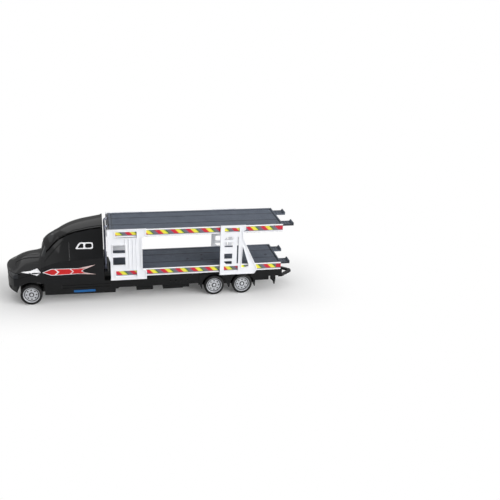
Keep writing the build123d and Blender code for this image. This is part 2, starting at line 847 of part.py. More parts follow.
# Hitch loop: a flat triangular eye
hitch_bottom = 10.8
hitch_thickness = 2.4
hitch_half_width = 13.0
hitch_bar = 3.0
hitch_shank = 4.0
hitch_tip = 2.0
with BuildPart() as hitch_loop:
    with BuildSketch(Plane.XY.offset(hitch_bottom)):
        with BuildLine():
            Polyline(
                (at(chassis_rear), hitch_half_width),
                (at(chassis_rear + hitch_shank), hitch_half_width),
                (at(overall_length), hitch_tip),
                (at(overall_length), -hitch_tip),
                (at(chassis_rear + hitch_shank), -hitch_half_width),
                (at(chassis_rear), -hitch_half_width),
                close=True,
            )
        make_face()
        offset(amount=-hitch_bar, mode=Mode.SUBTRACT)
    extrude(amount=hitch_thickness)
write(hitch_loop.part, "hitch_loop")

# White side panels behind the cab, with a toothed strip along their front edge
# cut-outs: front, rear, deck top that they hang from, bottom and top measured from it
PANEL_CUTS = (
    (5.4, 26.0, upper_deck_top, -8.6, -2.2),
    (5.2, 25.6, lower_deck_top, -7.7, -1.3),
    (2.6, 14.8, lower_deck_top, 17.5, 26.0),
    (2.6, 14.8, lower_deck_top, 5.1, 13.5),
)
PANEL_RIBS = (18.3, 29.6)
rib_width = 0.8
strip_width = 2.7
strip_bottom = 17.2
strip_slope = 8.6
tooth_pitch = 1.7
tooth_height = 0.8
tooth_width = 1.3
teeth = 13
step_slant = 1.5
step_drop = 0.5
# outline from the foot's front to the strip: place behind the deck's front, height
PANEL = (
    (0.0, panel_bottom),
    (panel_length, panel_bottom),
    (panel_length, lower_deck_top - step_drop - step_slant),
    (panel_waist, lower_deck_top - step_drop),
    (panel_waist, upper_deck_bottom - step_drop),
    (panel_length, upper_deck_bottom - step_drop + step_slant),
    (panel_length, panel_top),
    (-strip_width, panel_top),
    (-strip_width, lower_deck_top + strip_bottom),
    (0.0, lower_deck_top + strip_bottom - strip_slope),
)
with BuildSketch() as panel_outline:
    with BuildLine():
        Polyline(*[(at(deck_front + place), height) for place, height in PANEL], close=True)
    make_face()
with BuildSketch() as panel_windows:
    for front, rear, level, low, high in PANEL_CUTS:
        with Locations((at(deck_front + (front + rear) / 2), level + (low + high) / 2)):
            Rectangle(rear - front, high - low)
with BuildSketch() as panel_frames:
    add(panel_windows.sketch)
    offset(amount=panel_rim, kind=Kind.INTERSECTION)
    add(panel_windows.sketch, mode=Mode.SUBTRACT)
teeth_middle = panel_top - 2 * panel_rim - teeth * tooth_pitch / 2
ribs_middle = (lower_deck_top + upper_deck_bottom) / 2
with BuildSketch() as panel_relief:
    add(panel_outline.sketch)
    offset(amount=-panel_rim, mode=Mode.SUBTRACT)
    add(panel_frames.sketch)
    with Locations(*[(at(deck_front + place), ribs_middle) for place in PANEL_RIBS]):
        Rectangle(rib_width, upper_deck_bottom - lower_deck_top - 4 * panel_rim)
    with Locations((at(deck_front - panel_rim / 2 - strip_width / 4), teeth_middle)):
        with GridLocations(1, tooth_pitch, 1, teeth):
            Rectangle(tooth_width, tooth_height)
for side_name, side in SIDES.items():
    with BuildPart() as panel:
        with BuildSketch(side_plane(side * deck_half_width)):
            add(panel_outline.sketch)
            add(panel_windows.sketch, mode=Mode.SUBTRACT)
        extrude(amount=-side * panel_thickness)
        with BuildSketch(side_plane(side * (deck_half_width + panel_thickness))):
            add(panel_relief.sketch)
        extrude(amount=-side * panel_rim_height)
    write(panel.part, f"front_panel_{side_name}")

# Towers above the bogie: a ladder with a brace behind it
# cut-outs: front, rear, deck top that they are measured from, bottom, top, cut corner
TOWER_CUTS = (
    (4.2, 19.6, upper_deck_top, -6.8, -2.2, 0),
    (4.2, 18.8, lower_deck_top, -6.8, -1.7, 0),
    (4.4, 12.8, lower_deck_top, 27.2, 30.3, 1),
    (4.3, 12.8, lower_deck_top, 19.0, 24.6, 0),
    (4.3, 12.6, lower_deck_top, 6.4, 12.1, 0),
    (4.3, 12.4, lower_deck_top, 0.5, 3.9, -1),
    (17.2, 18.9, lower_deck_top, 0.7, 30.1, 0),
)
corner_cut = 2.2
tower_width = 25.8
tower_foot = 39.3
tower_corner = 3.0
brace_round = 1.6
brace_rim = 0.9
# outline from the foot's front to the top's front: place behind the tower's front, height
TOWER = (
    (0.0, panel_bottom),
    (tower_foot - tower_corner, panel_bottom),
    (tower_foot, lower_deck_top - 5.7),
    (23.8, upper_deck_bottom - 6.0),
    (23.2, upper_deck_top - 5.7),
    (tower_width, upper_deck_top - 4.7),
    (tower_width, panel_top),
    (0.0, panel_top),
)
# opening in the brace: place behind the tower's front, height
BRACE = (
    (23.3, lower_deck_top + 19.7),
    (22.3, lower_deck_top - 4.4),
    (30.4, lower_deck_top - 2.6),
)
with BuildSketch() as tower_outline:
    with BuildLine():
        Polyline(*[(at(tower_front + place), height) for place, height in TOWER], close=True)
    make_face()
    fillet(tower_outline.vertices().sort_by(Axis.X)[-2:], tower_corner / 2)
with BuildSketch() as brace_window:
    with BuildLine():
        Polyline(*[(at(tower_front + place), height) for place, height in BRACE], close=True)
    make_face()
    fillet(brace_window.vertices().sort_by(Axis.Y)[:2], brace_round)
with BuildSketch() as tower_windows:
    for front, rear, level, low, high, corner in TOWER_CUTS:
        with Locations((at(tower_front + (front + rear) / 2), level + (low + high) / 2)):
            Rectangle(rear - front, high - low)
        if corner != 0:
            corner_z = level + (high if corner > 0 else low)
            with BuildLine():
                Polyline(
                    (at(tower_front + front), corner_z),
                    (at(tower_front + front + corner_cut), corner_z),
                    (at(tower_front + front), corner_z - corner * corner_cut),
                    close=True,
                )
            make_face(mode=Mode.SUBTRACT)
with BuildSketch() as brace_frame:
    add(brace_window.sketch)
    offset(amount=brace_rim)
    add(brace_window.sketch, mode=Mode.SUBTRACT)
    add(tower_windows.sketch, mode=Mode.SUBTRACT)
with BuildSketch() as tower_relief:
    add(tower_outline.sketch)
    offset(amount=-panel_rim, mode=Mode.SUBTRACT)
    add(brace_frame.sketch)
for side_name, side in SIDES.items():
    with BuildPart() as tower:
        with BuildSketch(side_plane(side * deck_half_width)):
            add(tower_outline.sketch)
            add(tower_windows.sketch, mode=Mode.SUBTRACT)
            add(brace_window.sketch, mode=Mode.SUBTRACT)
        extrude(amount=-side * panel_thickness)
        with BuildSketch(side_plane(side * (deck_half_width + panel_thickness))):
            add(tower_relief.sketch)
        extrude(amount=-side * panel_rim_height)
    write(tower.part, f"rear_tower_{side_name}")

# Wheelsets: a rod with two wheels pressed on it
hub_width = 6.2
hub_lip = 0.7
hub_lip_slope = 0.5
hub_well = 1.7
hub_disc = 1.0
hub_disc_radius = 6.2
hub_ring_radius = 2.5
hub_cap_radius = 1.5
hub_cap_dome = 0.4
hub_hole_radius = 0.75
hub_hole_circle = 4.8
hub_hole_depth = 1.5
hub_holes = 8
hub_inner_y = wheel_outer_y - tyre_width / 2 - hub_width / 2
hub_outer_y = hub_inner_y + hub_width
# hub face from the cap to the rim: depth below the outer face, distance from the axle
HUB_FACE = (
    (hub_cap_dome, hub_cap_radius),
    (hub_well, hub_cap_radius),
    (hub_well, hub_ring_radius),
    (hub_disc, hub_ring_radius),
    (hub_disc, hub_disc_radius),
    (hub_well, rim_radius - hub_lip - hub_lip_slope),
    (0, rim_radius - hub_lip),
    (0, rim_radius),
)
for name, station in AXLES:
    wheel_axis = Axis((at(station), 0, axle_height), (0, 1, 0))
    with BuildPart() as axle:
        with BuildSketch(side_plane(hub_inner_y + axle_depth)):
            with Locations((at(station), axle_height)):
                Circle(axle_radius)
        extrude(amount=2 * (hub_inner_y + axle_depth))
    write(axle.part, f"axle_{name}")
    for side_name, side in SIDES.items():
        outer = side * wheel_outer_y
        inner = side * (wheel_outer_y - tyre_width)
        seat = axle_height + rim_radius + seat_clearance
        tread = axle_height + tyre_radius
        with BuildPart() as tyre:
            with BuildSketch(section_plane(station)):
                with BuildLine():
                    Polyline(
                        (outer, seat),
                        (outer - side * tyre_shoulder, tread),
                        (inner, tread),
                        (inner, seat),
                        close=True,
                    )
                make_face()
            revolve(axis=wheel_axis)
        write(tyre.part, f"tyre_{name}_{side_name}")
        bore = axle_height + axle_radius + seat_clearance
        with BuildPart() as hub:
            with BuildSketch(section_plane(station)):
                with BuildLine():
                    Polyline(
                        *[(side * (hub_outer_y - depth), axle_height + radius) for depth, radius in HUB_FACE],
                        (side * hub_inner_y, axle_height + rim_radius),
                        (side * hub_inner_y, bore),
                        (side * (hub_inner_y + axle_depth), bore),
                        (side * (hub_inner_y + axle_depth), axle_height),
                        (side * hub_outer_y, axle_height),
                        close=True,
                    )
                make_face()
            revolve(axis=wheel_axis)
            with BuildSketch(side_plane(side * hub_outer_y)):
                with Locations((at(station), axle_height)):
                    with PolarLocations(hub_hole_circle, hub_holes):
                        Circle(hub_hole_radius)
            extrude(amount=side * (hub_disc + hub_hole_depth), mode=Mode.SUBTRACT)
        write(hub.part, f"hub_{name}_{side_name}")
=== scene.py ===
"""Looks of the toy car transporter truck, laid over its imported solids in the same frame."""

import json
import logging
import math
from dataclasses import dataclass, field
from enum import Enum

import bmesh
import bpy
from mathutils import Matrix, Vector
from mathutils.bvhtree import BVHTree

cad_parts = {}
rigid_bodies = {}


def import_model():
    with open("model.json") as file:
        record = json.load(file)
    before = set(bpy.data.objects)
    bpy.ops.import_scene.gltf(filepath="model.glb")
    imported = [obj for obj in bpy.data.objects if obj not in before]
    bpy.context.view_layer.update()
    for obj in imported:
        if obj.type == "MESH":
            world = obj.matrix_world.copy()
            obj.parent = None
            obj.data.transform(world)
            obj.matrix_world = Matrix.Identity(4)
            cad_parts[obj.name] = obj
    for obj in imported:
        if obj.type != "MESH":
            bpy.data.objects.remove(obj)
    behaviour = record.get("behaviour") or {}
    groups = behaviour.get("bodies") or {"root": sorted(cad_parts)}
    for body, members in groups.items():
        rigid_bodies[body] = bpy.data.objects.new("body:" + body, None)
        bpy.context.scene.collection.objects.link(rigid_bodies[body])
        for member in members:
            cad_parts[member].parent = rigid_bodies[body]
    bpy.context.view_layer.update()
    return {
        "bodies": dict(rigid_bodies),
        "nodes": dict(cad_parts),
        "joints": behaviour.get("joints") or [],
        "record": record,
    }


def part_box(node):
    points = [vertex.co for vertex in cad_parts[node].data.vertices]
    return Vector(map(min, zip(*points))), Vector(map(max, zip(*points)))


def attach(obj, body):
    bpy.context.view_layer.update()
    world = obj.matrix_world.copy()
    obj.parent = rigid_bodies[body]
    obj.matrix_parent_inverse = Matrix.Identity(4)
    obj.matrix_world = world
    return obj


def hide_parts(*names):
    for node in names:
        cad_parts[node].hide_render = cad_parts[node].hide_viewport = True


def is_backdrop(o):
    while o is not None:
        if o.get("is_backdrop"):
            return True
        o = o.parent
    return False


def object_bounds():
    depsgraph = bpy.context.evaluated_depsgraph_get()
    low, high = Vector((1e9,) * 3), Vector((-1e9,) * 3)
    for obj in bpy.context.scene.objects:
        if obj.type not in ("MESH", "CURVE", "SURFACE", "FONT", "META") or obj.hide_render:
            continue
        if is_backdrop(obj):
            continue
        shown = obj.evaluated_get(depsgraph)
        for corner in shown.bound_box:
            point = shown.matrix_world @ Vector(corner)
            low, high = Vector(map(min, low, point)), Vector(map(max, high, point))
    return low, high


LOG = logging.getLogger("car_transporter")
MM = 0.001
SIDES = {"left": -1, "right": 1}

Point = tuple[float, float]
Triple = tuple[float, float, float]
Outline = tuple[Point, ...]
Stops = tuple[tuple[float, str], ...]
Socket = bpy.types.NodeSocket

# a dished boss: its sides, and its top, the rim round its dish and the dish's depth as shares of its size
BOSS_SIDES = 16
BOSS_TOP_SHARE = 0.85
BOSS_RIM_SHARE = 0.25
BOSS_DISH_SHARE = 0.6


def linear(hex_colour: str) -> tuple[float, float, float, float]:
    """Turn an sRGB hex colour into a linear one.

    Args:
        hex_colour: Colour as "#rrggbb".

    Returns:
        Linear red, green, blue and an alpha of 1.
    """
    channels = [int(hex_colour[start : start + 2], 16) / 255 for start in (1, 3, 5)]
    red, green, blue = [c / 12.92 if c <= 0.04045 else ((c + 0.055) / 1.055) ** 2.4 for c in channels]
    return red, green, blue, 1.0


def add_node(
    tree: bpy.types.NodeTree,
    kind: str,
    settings: dict[str, object] | None = None,
    values: dict[str | int, object] | None = None,
    links: dict[str | int, Socket] | None = None,
    stops: Stops = (),
) -> bpy.types.Node:
    """Add a shader node with its settings, socket values and incoming links.

    Args:
        tree: Node tree that gets the node.
        kind: Type name of the node, without its "ShaderNode".
        settings: Attributes of the node.
        values: Default values of its input sockets.
        links: Output sockets to join to its input sockets.
        stops: Place from 0 to 1 and sRGB hex colour of each stop, where the node is a colour ramp.

    Returns:
        The new node.
    """
    node = tree.nodes.new(f"ShaderNode{kind}")
    for name, value in (settings or {}).items():
        setattr(node, name, value)
    for name, value in (values or {}).items():
        node.inputs[name].default_value = value
    for name, socket in (links or {}).items():
        tree.links.new(socket, node.inputs[name])
    for index, (place, colour) in enumerate(stops):
        elements = node.color_ramp.elements
        stop = elements[index] if index < len(elements) else elements.new(place)
        stop.position, stop.color = place, linear(colour)
    return node


def new_material(name: str) -> tuple[bpy.types.Material, bpy.types.NodeTree]:
    """Make a material with an empty node tree.

    Args:
        name: Name of the material.

    Returns:
        The material and its node tree.
    """
    material = bpy.data.materials.new(name)
    material.use_nodes = True
    material.node_tree.nodes.clear()
    return material, material.node_tree


@dataclass(frozen=True)
class MouldedPlastic:
    """Injection-moulded plastic: even colour with faint flow clouds, mould grain and softened edges.

    Attributes:
        name: Name of the material.
        colour: sRGB hex of the plastic.
        cloud: sRGB hex of the flow clouds in it.
        roughness: Roughness where the mould is cleanest.
        wear: Roughness that handling adds in patches.
        cloud_mm: Size of a flow cloud.
        grain_mm: Size of the mould's grain, coarser than a real one of 0.1 mm, so that it shows.
        grain_depth: Strength of the grain's bump.
        edge_mm: Radius that the mould leaves on an edge.
        ior: Refractive index; styrene plastics are near 1.54.
        metallic: Share of metal flakes, for lacquered pieces.
        coat: Weight of a clear coat.
        recess_shade: sRGB hex of the shade painted into recesses and grooves.
        recess_y_mm: Distance from the truck's middle below which the painted shade begins; none where 0.
        grooves_mm: Distances from the truck's middle of long grooves that get the painted shade; none where
            empty.
        groove_half_mm: Half width of the painted shade along a groove.
    """

    name: str
    colour: str
    cloud: str
    roughness: float
    wear: float = 0.08
    cloud_mm: float = 9.0
    grain_mm: float = 0.5
    grain_depth: float = 0.05
    edge_mm: float = 0.18
    ior: float = 1.54
    metallic: float = 0.0
    coat: float = 0.0
    recess_shade: str = "#161618"
    recess_y_mm: float = 0.0
    grooves_mm: tuple[float, ...] = ()
    groove_half_mm: float = 0.5

    def build(self) -> bpy.types.Material:
        """Build the material.

        Returns:
            The plastic with its clouds, grain and softened edges.
        """
        material, tree = new_material(self.name)
        place = add_node(tree, "TexCoord").outputs["Object"]
        size = {"Scale": 1 / (self.cloud_mm * MM), "Detail": 3.0, "Roughness": 0.6}
        clouds = add_node(tree, "TexNoise", None, size, {"Vector": place}).outputs["Fac"]
        stops = ((0.35, self.colour), (0.7, self.cloud))
        colour = add_node(tree, "ValToRGB", links={"Fac": clouds}, stops=stops).outputs["Color"]
        rough = self.roughness + self.wear
        span = {"From Min": 0.3, "From Max": 0.75, "To Min": self.roughness, "To Max": rough}
        gloss = add_node(tree, "MapRange", None, span, {"Value": clouds}).outputs["Result"]
        size = {"Scale": 1 / (self.grain_mm * MM), "Detail": 2.0}
        grain = add_node(tree, "TexNoise", None, size, {"Vector": place}).outputs["Fac"]
        edge = add_node(tree, "Bevel", {"samples": 6}, {"Radius": self.edge_mm * MM}).outputs["Normal"]
        relief = {"Strength": self.grain_depth, "Distance": self.grain_mm * MM}
        bump = add_node(tree, "Bump", None, relief, {"Height": grain, "Normal": edge}).outputs["Normal"]
        shader = add_node(
            tree,
            "BsdfPrincipled",
            None,
            {"IOR": self.ior, "Metallic": self.metallic, "Coat Weight": self.coat, "Coat Roughness": 0.04},
            {"Base Color": colour, "Roughness": gloss, "Normal": bump},
        )
        if self.recess_y_mm > 0 or self.grooves_mm:
            self.paint_recess_shade(tree, place, colour, shader)
        add_node(tree, "OutputMaterial", links={"Surface": shader.outputs["BSDF"]})
        return material

    def paint_recess_shade(
        self, tree: bpy.types.NodeTree, place: Socket, colour: Socket, shader: bpy.types.Node
    ) -> None:
        """Paint shade into recesses and grooves: a darker colour, without flakes.

        Args:
            tree: Node tree of the material.
            place: Place on the piece.
            colour: Colour outside the recesses.
            shader: Shader that gets the colour and the share of metal.
        """
        # painted shade: the mask below is 1 outside the recesses and grooves and 0 in them, where a darker
        # colour stands in for the shade that falls there
        axes = add_node(tree, "SeparateXYZ", links={"Vector": place})
        out = add_node(tree, "Math", {"operation": "ABSOLUTE"}, links={0: axes.outputs["Y"]}).outputs[0]
        beyond = {1: self.recess_y_mm * MM}
        plain = add_node(tree, "Math", {"operation": "GREATER_THAN"}, beyond, {0: out}).outputs[0]
        less = {"operation": "SUBTRACT", "use_clamp": True}
        for groove_mm in self.grooves_mm:
            values = {1: groove_mm * MM, 2: self.groove_half_mm * MM}
            inside = add_node(tree, "Math", {"operation": "COMPARE"}, values, {0: out}).outputs[0]
            plain = add_node(tree, "Math", less, links={0: plain, 1: inside}).outputs[0]
        shade = {"A": linear(self.recess_shade)}
        mixed = add_node(tree, "Mix", {"data_type": "RGBA"}, shade, {"Factor": plain, "B": colour})
        tree.links.new(mixed.outputs["Result"], shader.inputs["Base Color"])
        if self.metallic > 0:
            flakes = add_node(tree, "Math", {"operation": "MULTIPLY"}, {1: self.metallic}, {0: plain})
            tree.links.new(flakes.outputs[0], shader.inputs["Metallic"])


@dataclass(frozen=True)
class DrawnSteel:
    """Bright drawn wire: fine scratches along the rod over plain steel.

    Attributes:
        name: Name of the material.
        colour: sRGB hex of the steel.
        shade: sRGB hex in the scratches.
        scratch_mm: Spacing of the scratches, coarser than real ones, so that they show.
        stretch: Spacing across the rod as a share of a scratch's length.
        roughness: Roughness between the scratches.
        wear: Roughness that the scratches add.
    """

    name: str = "drawn_steel"
    colour: str = "#c3c5c9"
    shade: str = "#a9abb0"
    scratch_mm: float = 0.2
    stretch: float = 0.05
    roughness: float = 0.28
    wear: float = 0.2

    def build(self) -> bpy.types.Material:
        """Build the material.

        Returns:
            The steel with its scratches.
        """
        material, tree = new_material(self.name)
        place = add_node(tree, "TexCoord").outputs["Object"]
        scale = {"Scale": (1.0, self.stretch, 1.0)}
        along = add_node(tree, "Mapping", None, scale, {"Vector": place}).outputs["Vector"]
        size = {"Scale": 1 / (self.scratch_mm * MM), "Detail": 4.0}
        scratches = add_node(tree, "TexNoise", None, size, {"Vector": along}).outputs["Fac"]
        span = {"To Min": self.roughness, "To Max": self.roughness + self.wear}
        gloss = add_node(tree, "MapRange", None, span, {"Value": scratches}).outputs["Result"]
        stops = ((0.3, self.colour), (0.8, self.shade))
        tone = add_node(tree, "ValToRGB", links={"Fac": scratches}, stops=stops).outputs["Color"]
        links = {"Base Color": tone, "Roughness": gloss}
        shader = add_node(tree, "BsdfPrincipled", None, {"Metallic": 1.0}, links)
        add_node(tree, "OutputMaterial", links={"Surface": shader.outputs["BSDF"]})
        return material


@dataclass(frozen=True)
class WarningBand:
    """Printed vinyl band: slanted red and yellow bars with green edges on grey, between white borders.

    The band's UV map holds millimetres along the print and above its lower edge.

    Attributes:
        name: Name of the material.
        height_mm: Height of the band.
        phase_mm: Distance that the print is shifted along the band.
        block_mm: Start and end of the red block at the deck's rear.
        period_mm: Distance from a red bar to the next.
        block_colour: sRGB hex of the red block.
        roughness: Roughness of the vinyl.
        ior: Refractive index of the vinyl.
    """

    name: str
    height_mm: float
    phase_mm: float
    block_mm: Point
    period_mm: float = 15.2
    block_colour: str = "#bd2036"
    roughness: float = 0.4
    ior: float = 1.53

    # place of each colour's start along one period
    BARS = (
        (0.0, "#6f6a78"), (0.24, "#93566c"), (0.28, "#c92238"), (0.56, "#dc9a3a"),
        (0.6, "#e9df45"), (0.84, "#bfcb48"), (0.91, "#4a703a"),
    )
    # place of each colour's start up the band; the bars are printed over the black one
    BORDERS = (
        (0.0, "#f2f2f4"), (0.13, "#a9a6b5"), (0.23, "#34503a"),
        (0.265, "#000000"), (0.8, "#34503a"), (0.835, "#f2f2f4"),
    )

    def build(self) -> bpy.types.Material:
        """Build the material.

        Returns:
            The vinyl with its printed bars, block and borders.
        """
        material, tree = new_material(self.name)
        print_map = add_node(tree, "UVMap", {"uv_map": "UVMap"})
        axes = add_node(tree, "SeparateXYZ", links={"Vector": print_map.outputs["UV"]})
        along, up = axes.outputs["X"], axes.outputs["Y"]
        period = add_node(tree, "Math", {"operation": "ADD"}, links={0: along, 1: up}).outputs[0]
        for operation, value in (("SUBTRACT", self.phase_mm), ("DIVIDE", self.period_mm), ("FRACT", 0.0)):
            step = add_node(tree, "Math", {"operation": operation}, {1: value}, {0: period})
            period = step.outputs[0]
        up = add_node(tree, "Math", {"operation": "DIVIDE"}, {1: self.height_mm}, {0: up}).outputs[0]
        bars = add_node(tree, "ValToRGB", links={"Fac": period}, stops=self.BARS)
        borders = add_node(tree, "ValToRGB", links={"Fac": up}, stops=self.BORDERS)
        for ramp in (bars, borders):
            ramp.color_ramp.interpolation = "CONSTANT"
        printed = self.BORDERS[3][0], self.BORDERS[4][0]
        reaches = []
        for place, (start, end) in ((along, self.block_mm), (up, printed)):
            values = {1: (start + end) / 2, 2: (end - start) / 2}
            reaches.append(add_node(tree, "Math", {"operation": "COMPARE"}, values, {0: place}).outputs[0])
        links = {"Factor": reaches[0], "A": bars.outputs["Color"]}
        block = add_node(tree, "Mix", {"data_type": "RGBA"}, {"B": linear(self.block_colour)}, links)
        links = {"Factor": reaches[1], "A": borders.outputs["Color"], "B": block.outputs["Result"]}
        colour = add_node(tree, "Mix", {"data_type": "RGBA"}, links=links).outputs["Result"]
        surface = {"Roughness": self.roughness, "IOR": self.ior}
        shader = add_node(tree, "BsdfPrincipled", None, surface, {"Base Color": colour})
        add_node(tree, "OutputMaterial", links={"Surface": shader.outputs["BSDF"]})
        return material


class Finish(Enum):
    """Finishes of the toy's pieces."""

    # High-gloss black ABS of the cab: deep black with clear reflections
    CAB_BLACK = MouldedPlastic(
        "cab_black_abs", "#08090b", "#0c0d10", 0.1, 0.06, edge_mm=0.3, grain_depth=0.02
    )
    # Smoked styrene of the windscreen and the roof lights: smoother than the cab, with sharp reflections
    SMOKED = MouldedPlastic(
        "smoked_styrene", "#0d1013", "#12161a", 0.03, 0.02, grain_depth=0.0, ior=1.59, coat=0.5
    )
    # Smoked lens of the headlamps, a little lighter
    LENS = MouldedPlastic("lamp_lens_styrene", "#1b1d21", "#23262b", 0.06, 0.04, grain_depth=0.01, ior=1.59)
    # Satin black ABS of the chassis: greyer, with a soft sheen
    CHASSIS_BLACK = MouldedPlastic("chassis_black_abs", "#060708", "#0b0c0e", 0.16, wear=0.1)
    # Satin slate ABS of the decks and ramps, with painted shade in the long grooves and along the rims
    SLATE = MouldedPlastic(
        "slate_abs", "#555d6a", "#4d5562", 0.45, wear=0.12,
        recess_shade="#23272f", grooves_mm=(10.2, 22.9), groove_half_mm=0.55,
    )
    # The same slate ABS where it is dished and catches no light
    RECESS = MouldedPlastic("slate_abs_recess", "#343a44", "#2e333c", 0.5)
    # Paler lavender-grey ABS of the exhaust stacks
    LAVENDER = MouldedPlastic("lavender_abs", "#9094a6", "#888da0", 0.3)
    # Bright white ABS of the side panels and ladders
    WHITE = MouldedPlastic("white_abs", "#eff0f4", "#e9ebf0", 0.34, wear=0.08)
    # Silver lacquer on the faces of the wheel discs: fine flakes, with painted shade, dark and without
    # flakes, where the disc lies within 25.05 mm of the truck's middle, in its holes
    SILVER = MouldedPlastic(
        "silver_lacquer", "#dddfe3", "#d1d3d8", 0.3, wear=0.1,
        metallic=0.5, coat=0.2, recess_shade="#1c1c1f", recess_y_mm=25.05,
    )
    # Soft black vinyl of the tyres: matt, slightly dusty
    TYRE = MouldedPlastic("tyre_vinyl", "#0a0a0b", "#0f0f11", 0.6, wear=0.15, edge_mm=0.25, ior=1.5)
    # Bright wire of the axles
    STEEL = DrawnSteel()
    # Printing inks on the cab: thin, even and semi-gloss
    INK_WHITE = MouldedPlastic("ink_white", "#ececee", "#dfdfe3", 0.3, edge_mm=0.02, grain_depth=0.02)
    INK_RED = MouldedPlastic("ink_red", "#d02020", "#bb1b1d", 0.3, edge_mm=0.02, grain_depth=0.02)
    INK_CREAM = MouldedPlastic("ink_cream", "#dcc4c2", "#cdb2b0", 0.3, edge_mm=0.02, grain_depth=0.02)
    INK_BLUE = MouldedPlastic("ink_blue", "#1a5f9e", "#17568f", 0.3, edge_mm=0.02, grain_depth=0.02)
    INK_BLACK = MouldedPlastic("ink_black", "#050506", "#08080a", 0.12, edge_mm=0.02, grain_depth=0.02)
    # Painted shadow under the roof's edge: a near-black film, laid over the groove there, which sends almost
    # no light back
    GAP = MouldedPlastic("painted_eave_shadow", "#020202", "#030303", 0.7, edge_mm=0.02, grain_depth=0.0, ior=1.12)

    def material(self) -> bpy.types.Material:
        """Return the finish's material, built on its first use."""
        return bpy.data.materials.get(self.value.name) or self.value.build()


def keep_piece(
    mesh: bmesh.types.BMesh, name: str, material: bpy.types.Material, body: str = "truck"
) -> bpy.types.Object:
    """Turn a finished bmesh into a piece that rides on a body.

    Args:
        mesh: Geometry in metres, in the frame's own place; it is freed.
        name: Name of the piece.
        material: Material of the piece.
        body: Body that carries the piece.

    Returns:
        The new object.
    """
    data = bpy.data.meshes.new(name)
    mesh.to_mesh(data)
    mesh.free()
    piece = bpy.data.objects.new(name, data)
    bpy.context.scene.collection.objects.link(piece)
    data.materials.append(material)
    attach(piece, body)
    LOG.info("piece %s: %d faces on %s", name, len(data.polygons), body)
    return piece


def dished_boss(mesh: bmesh.types.BMesh, place: Matrix, radius_mm: float, height_mm: float) -> None:
    """Add a low round boss with a dished top.

    Args:
        mesh: Geometry that gets the boss.
        place: Its middle, with its axis along Z.
        radius_mm: Radius of its foot.
        height_mm: Height of its rim.
    """
    made = bmesh.ops.create_cone(
        mesh,
        cap_ends=True,
        segments=BOSS_SIDES,
        radius1=radius_mm * MM,
        radius2=BOSS_TOP_SHARE * radius_mm * MM,
        depth=height_mm * MM,
        matrix=place,
    )
    axis = place.to_3x3() @ Vector((0, 0, 1))
    faces = {face for vert in made["verts"] for face in vert.link_faces}
    top = max(faces, key=lambda face: face.calc_center_median().dot(axis))
    bmesh.ops.inset_individual(mesh, faces=[top], thickness=BOSS_RIM_SHARE * radius_mm * MM)
    bmesh.ops.translate(mesh, vec=-axis * BOSS_DISH_SHARE * height_mm * MM, verts=top.verts)
    bmesh.ops.recalc_face_normals(mesh, faces=mesh.faces)


def thicken(mesh: bmesh.types.BMesh, depth: float) -> None:
    """Extrude every face of a sheet along Y.

    Args:
        mesh: Sheet to thicken.
        depth: Distance in metres, with its sign.
    """
    made = bmesh.ops.extrude_face_region(mesh, geom=mesh.faces[:], use_keep_orig=True)["geom"]
    outer = [item for item in made if isinstance(item, bmesh.types.BMVert)]
    bmesh.ops.translate(mesh, vec=(0, depth, 0), verts=outer)


def add_bar(mesh: bmesh.types.BMesh, size: Triple, place: Triple) -> list[bmesh.types.BMVert]:
    """Add a square bar.

    Args:
        mesh: Geometry that gets the bar.
        size: Its sizes along X, Y and Z in metres.
        place: Its middle.

    Returns:
        Its corners.
    """
    bar = bmesh.ops.create_cube(mesh, size=1.0)["verts"]
    bmesh.ops.scale(mesh, vec=size, verts=bar)
    bmesh.ops.translate(mesh, vec=place, verts=bar)
    return bar


@dataclass
class Truck:
    """Places shared by the pieces, read from the frame.

    Attributes:
        nose: X of the nose in metres.
    """

    frame: dict
    nose: float = field(init=False)

    def __post_init__(self) -> None:
        """Read the nose's place from the frame."""
        self.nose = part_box("cab_shell")[0].x

    def at(self, station_mm: float) -> float:
        """Return the X of a distance behind the nose in millimetres."""
        return self.nose + station_mm * MM

    def sheet(self, outline: Outline, y_mm: float = 0.0) -> bmesh.types.BMesh:
        """Draw one flat upright face along the truck.

        Args:
            outline: Stations and heights of its corners.
            y_mm: Its distance from the truck's middle, with its sign.

        Returns:
            New geometry with that face.
        """
        mesh = bmesh.new()
        mesh.faces.new([mesh.verts.new((self.at(x), y_mm * MM, z * MM)) for x, z in outline])
        return mesh

    def dress(self, finish: Finish, *prefixes: str) -> None:
        """Give every node whose name starts with a prefix the finish.

        Args:
            finish: Finish to assign.
            prefixes: Starts of the nodes' names.
        """
        for name, node in self.frame["nodes"].items():
            if name.startswith(prefixes):
                node.data.materials.clear()
                node.data.materials.append(finish.material())
                LOG.info("node %s: %s", name, finish.value.name)


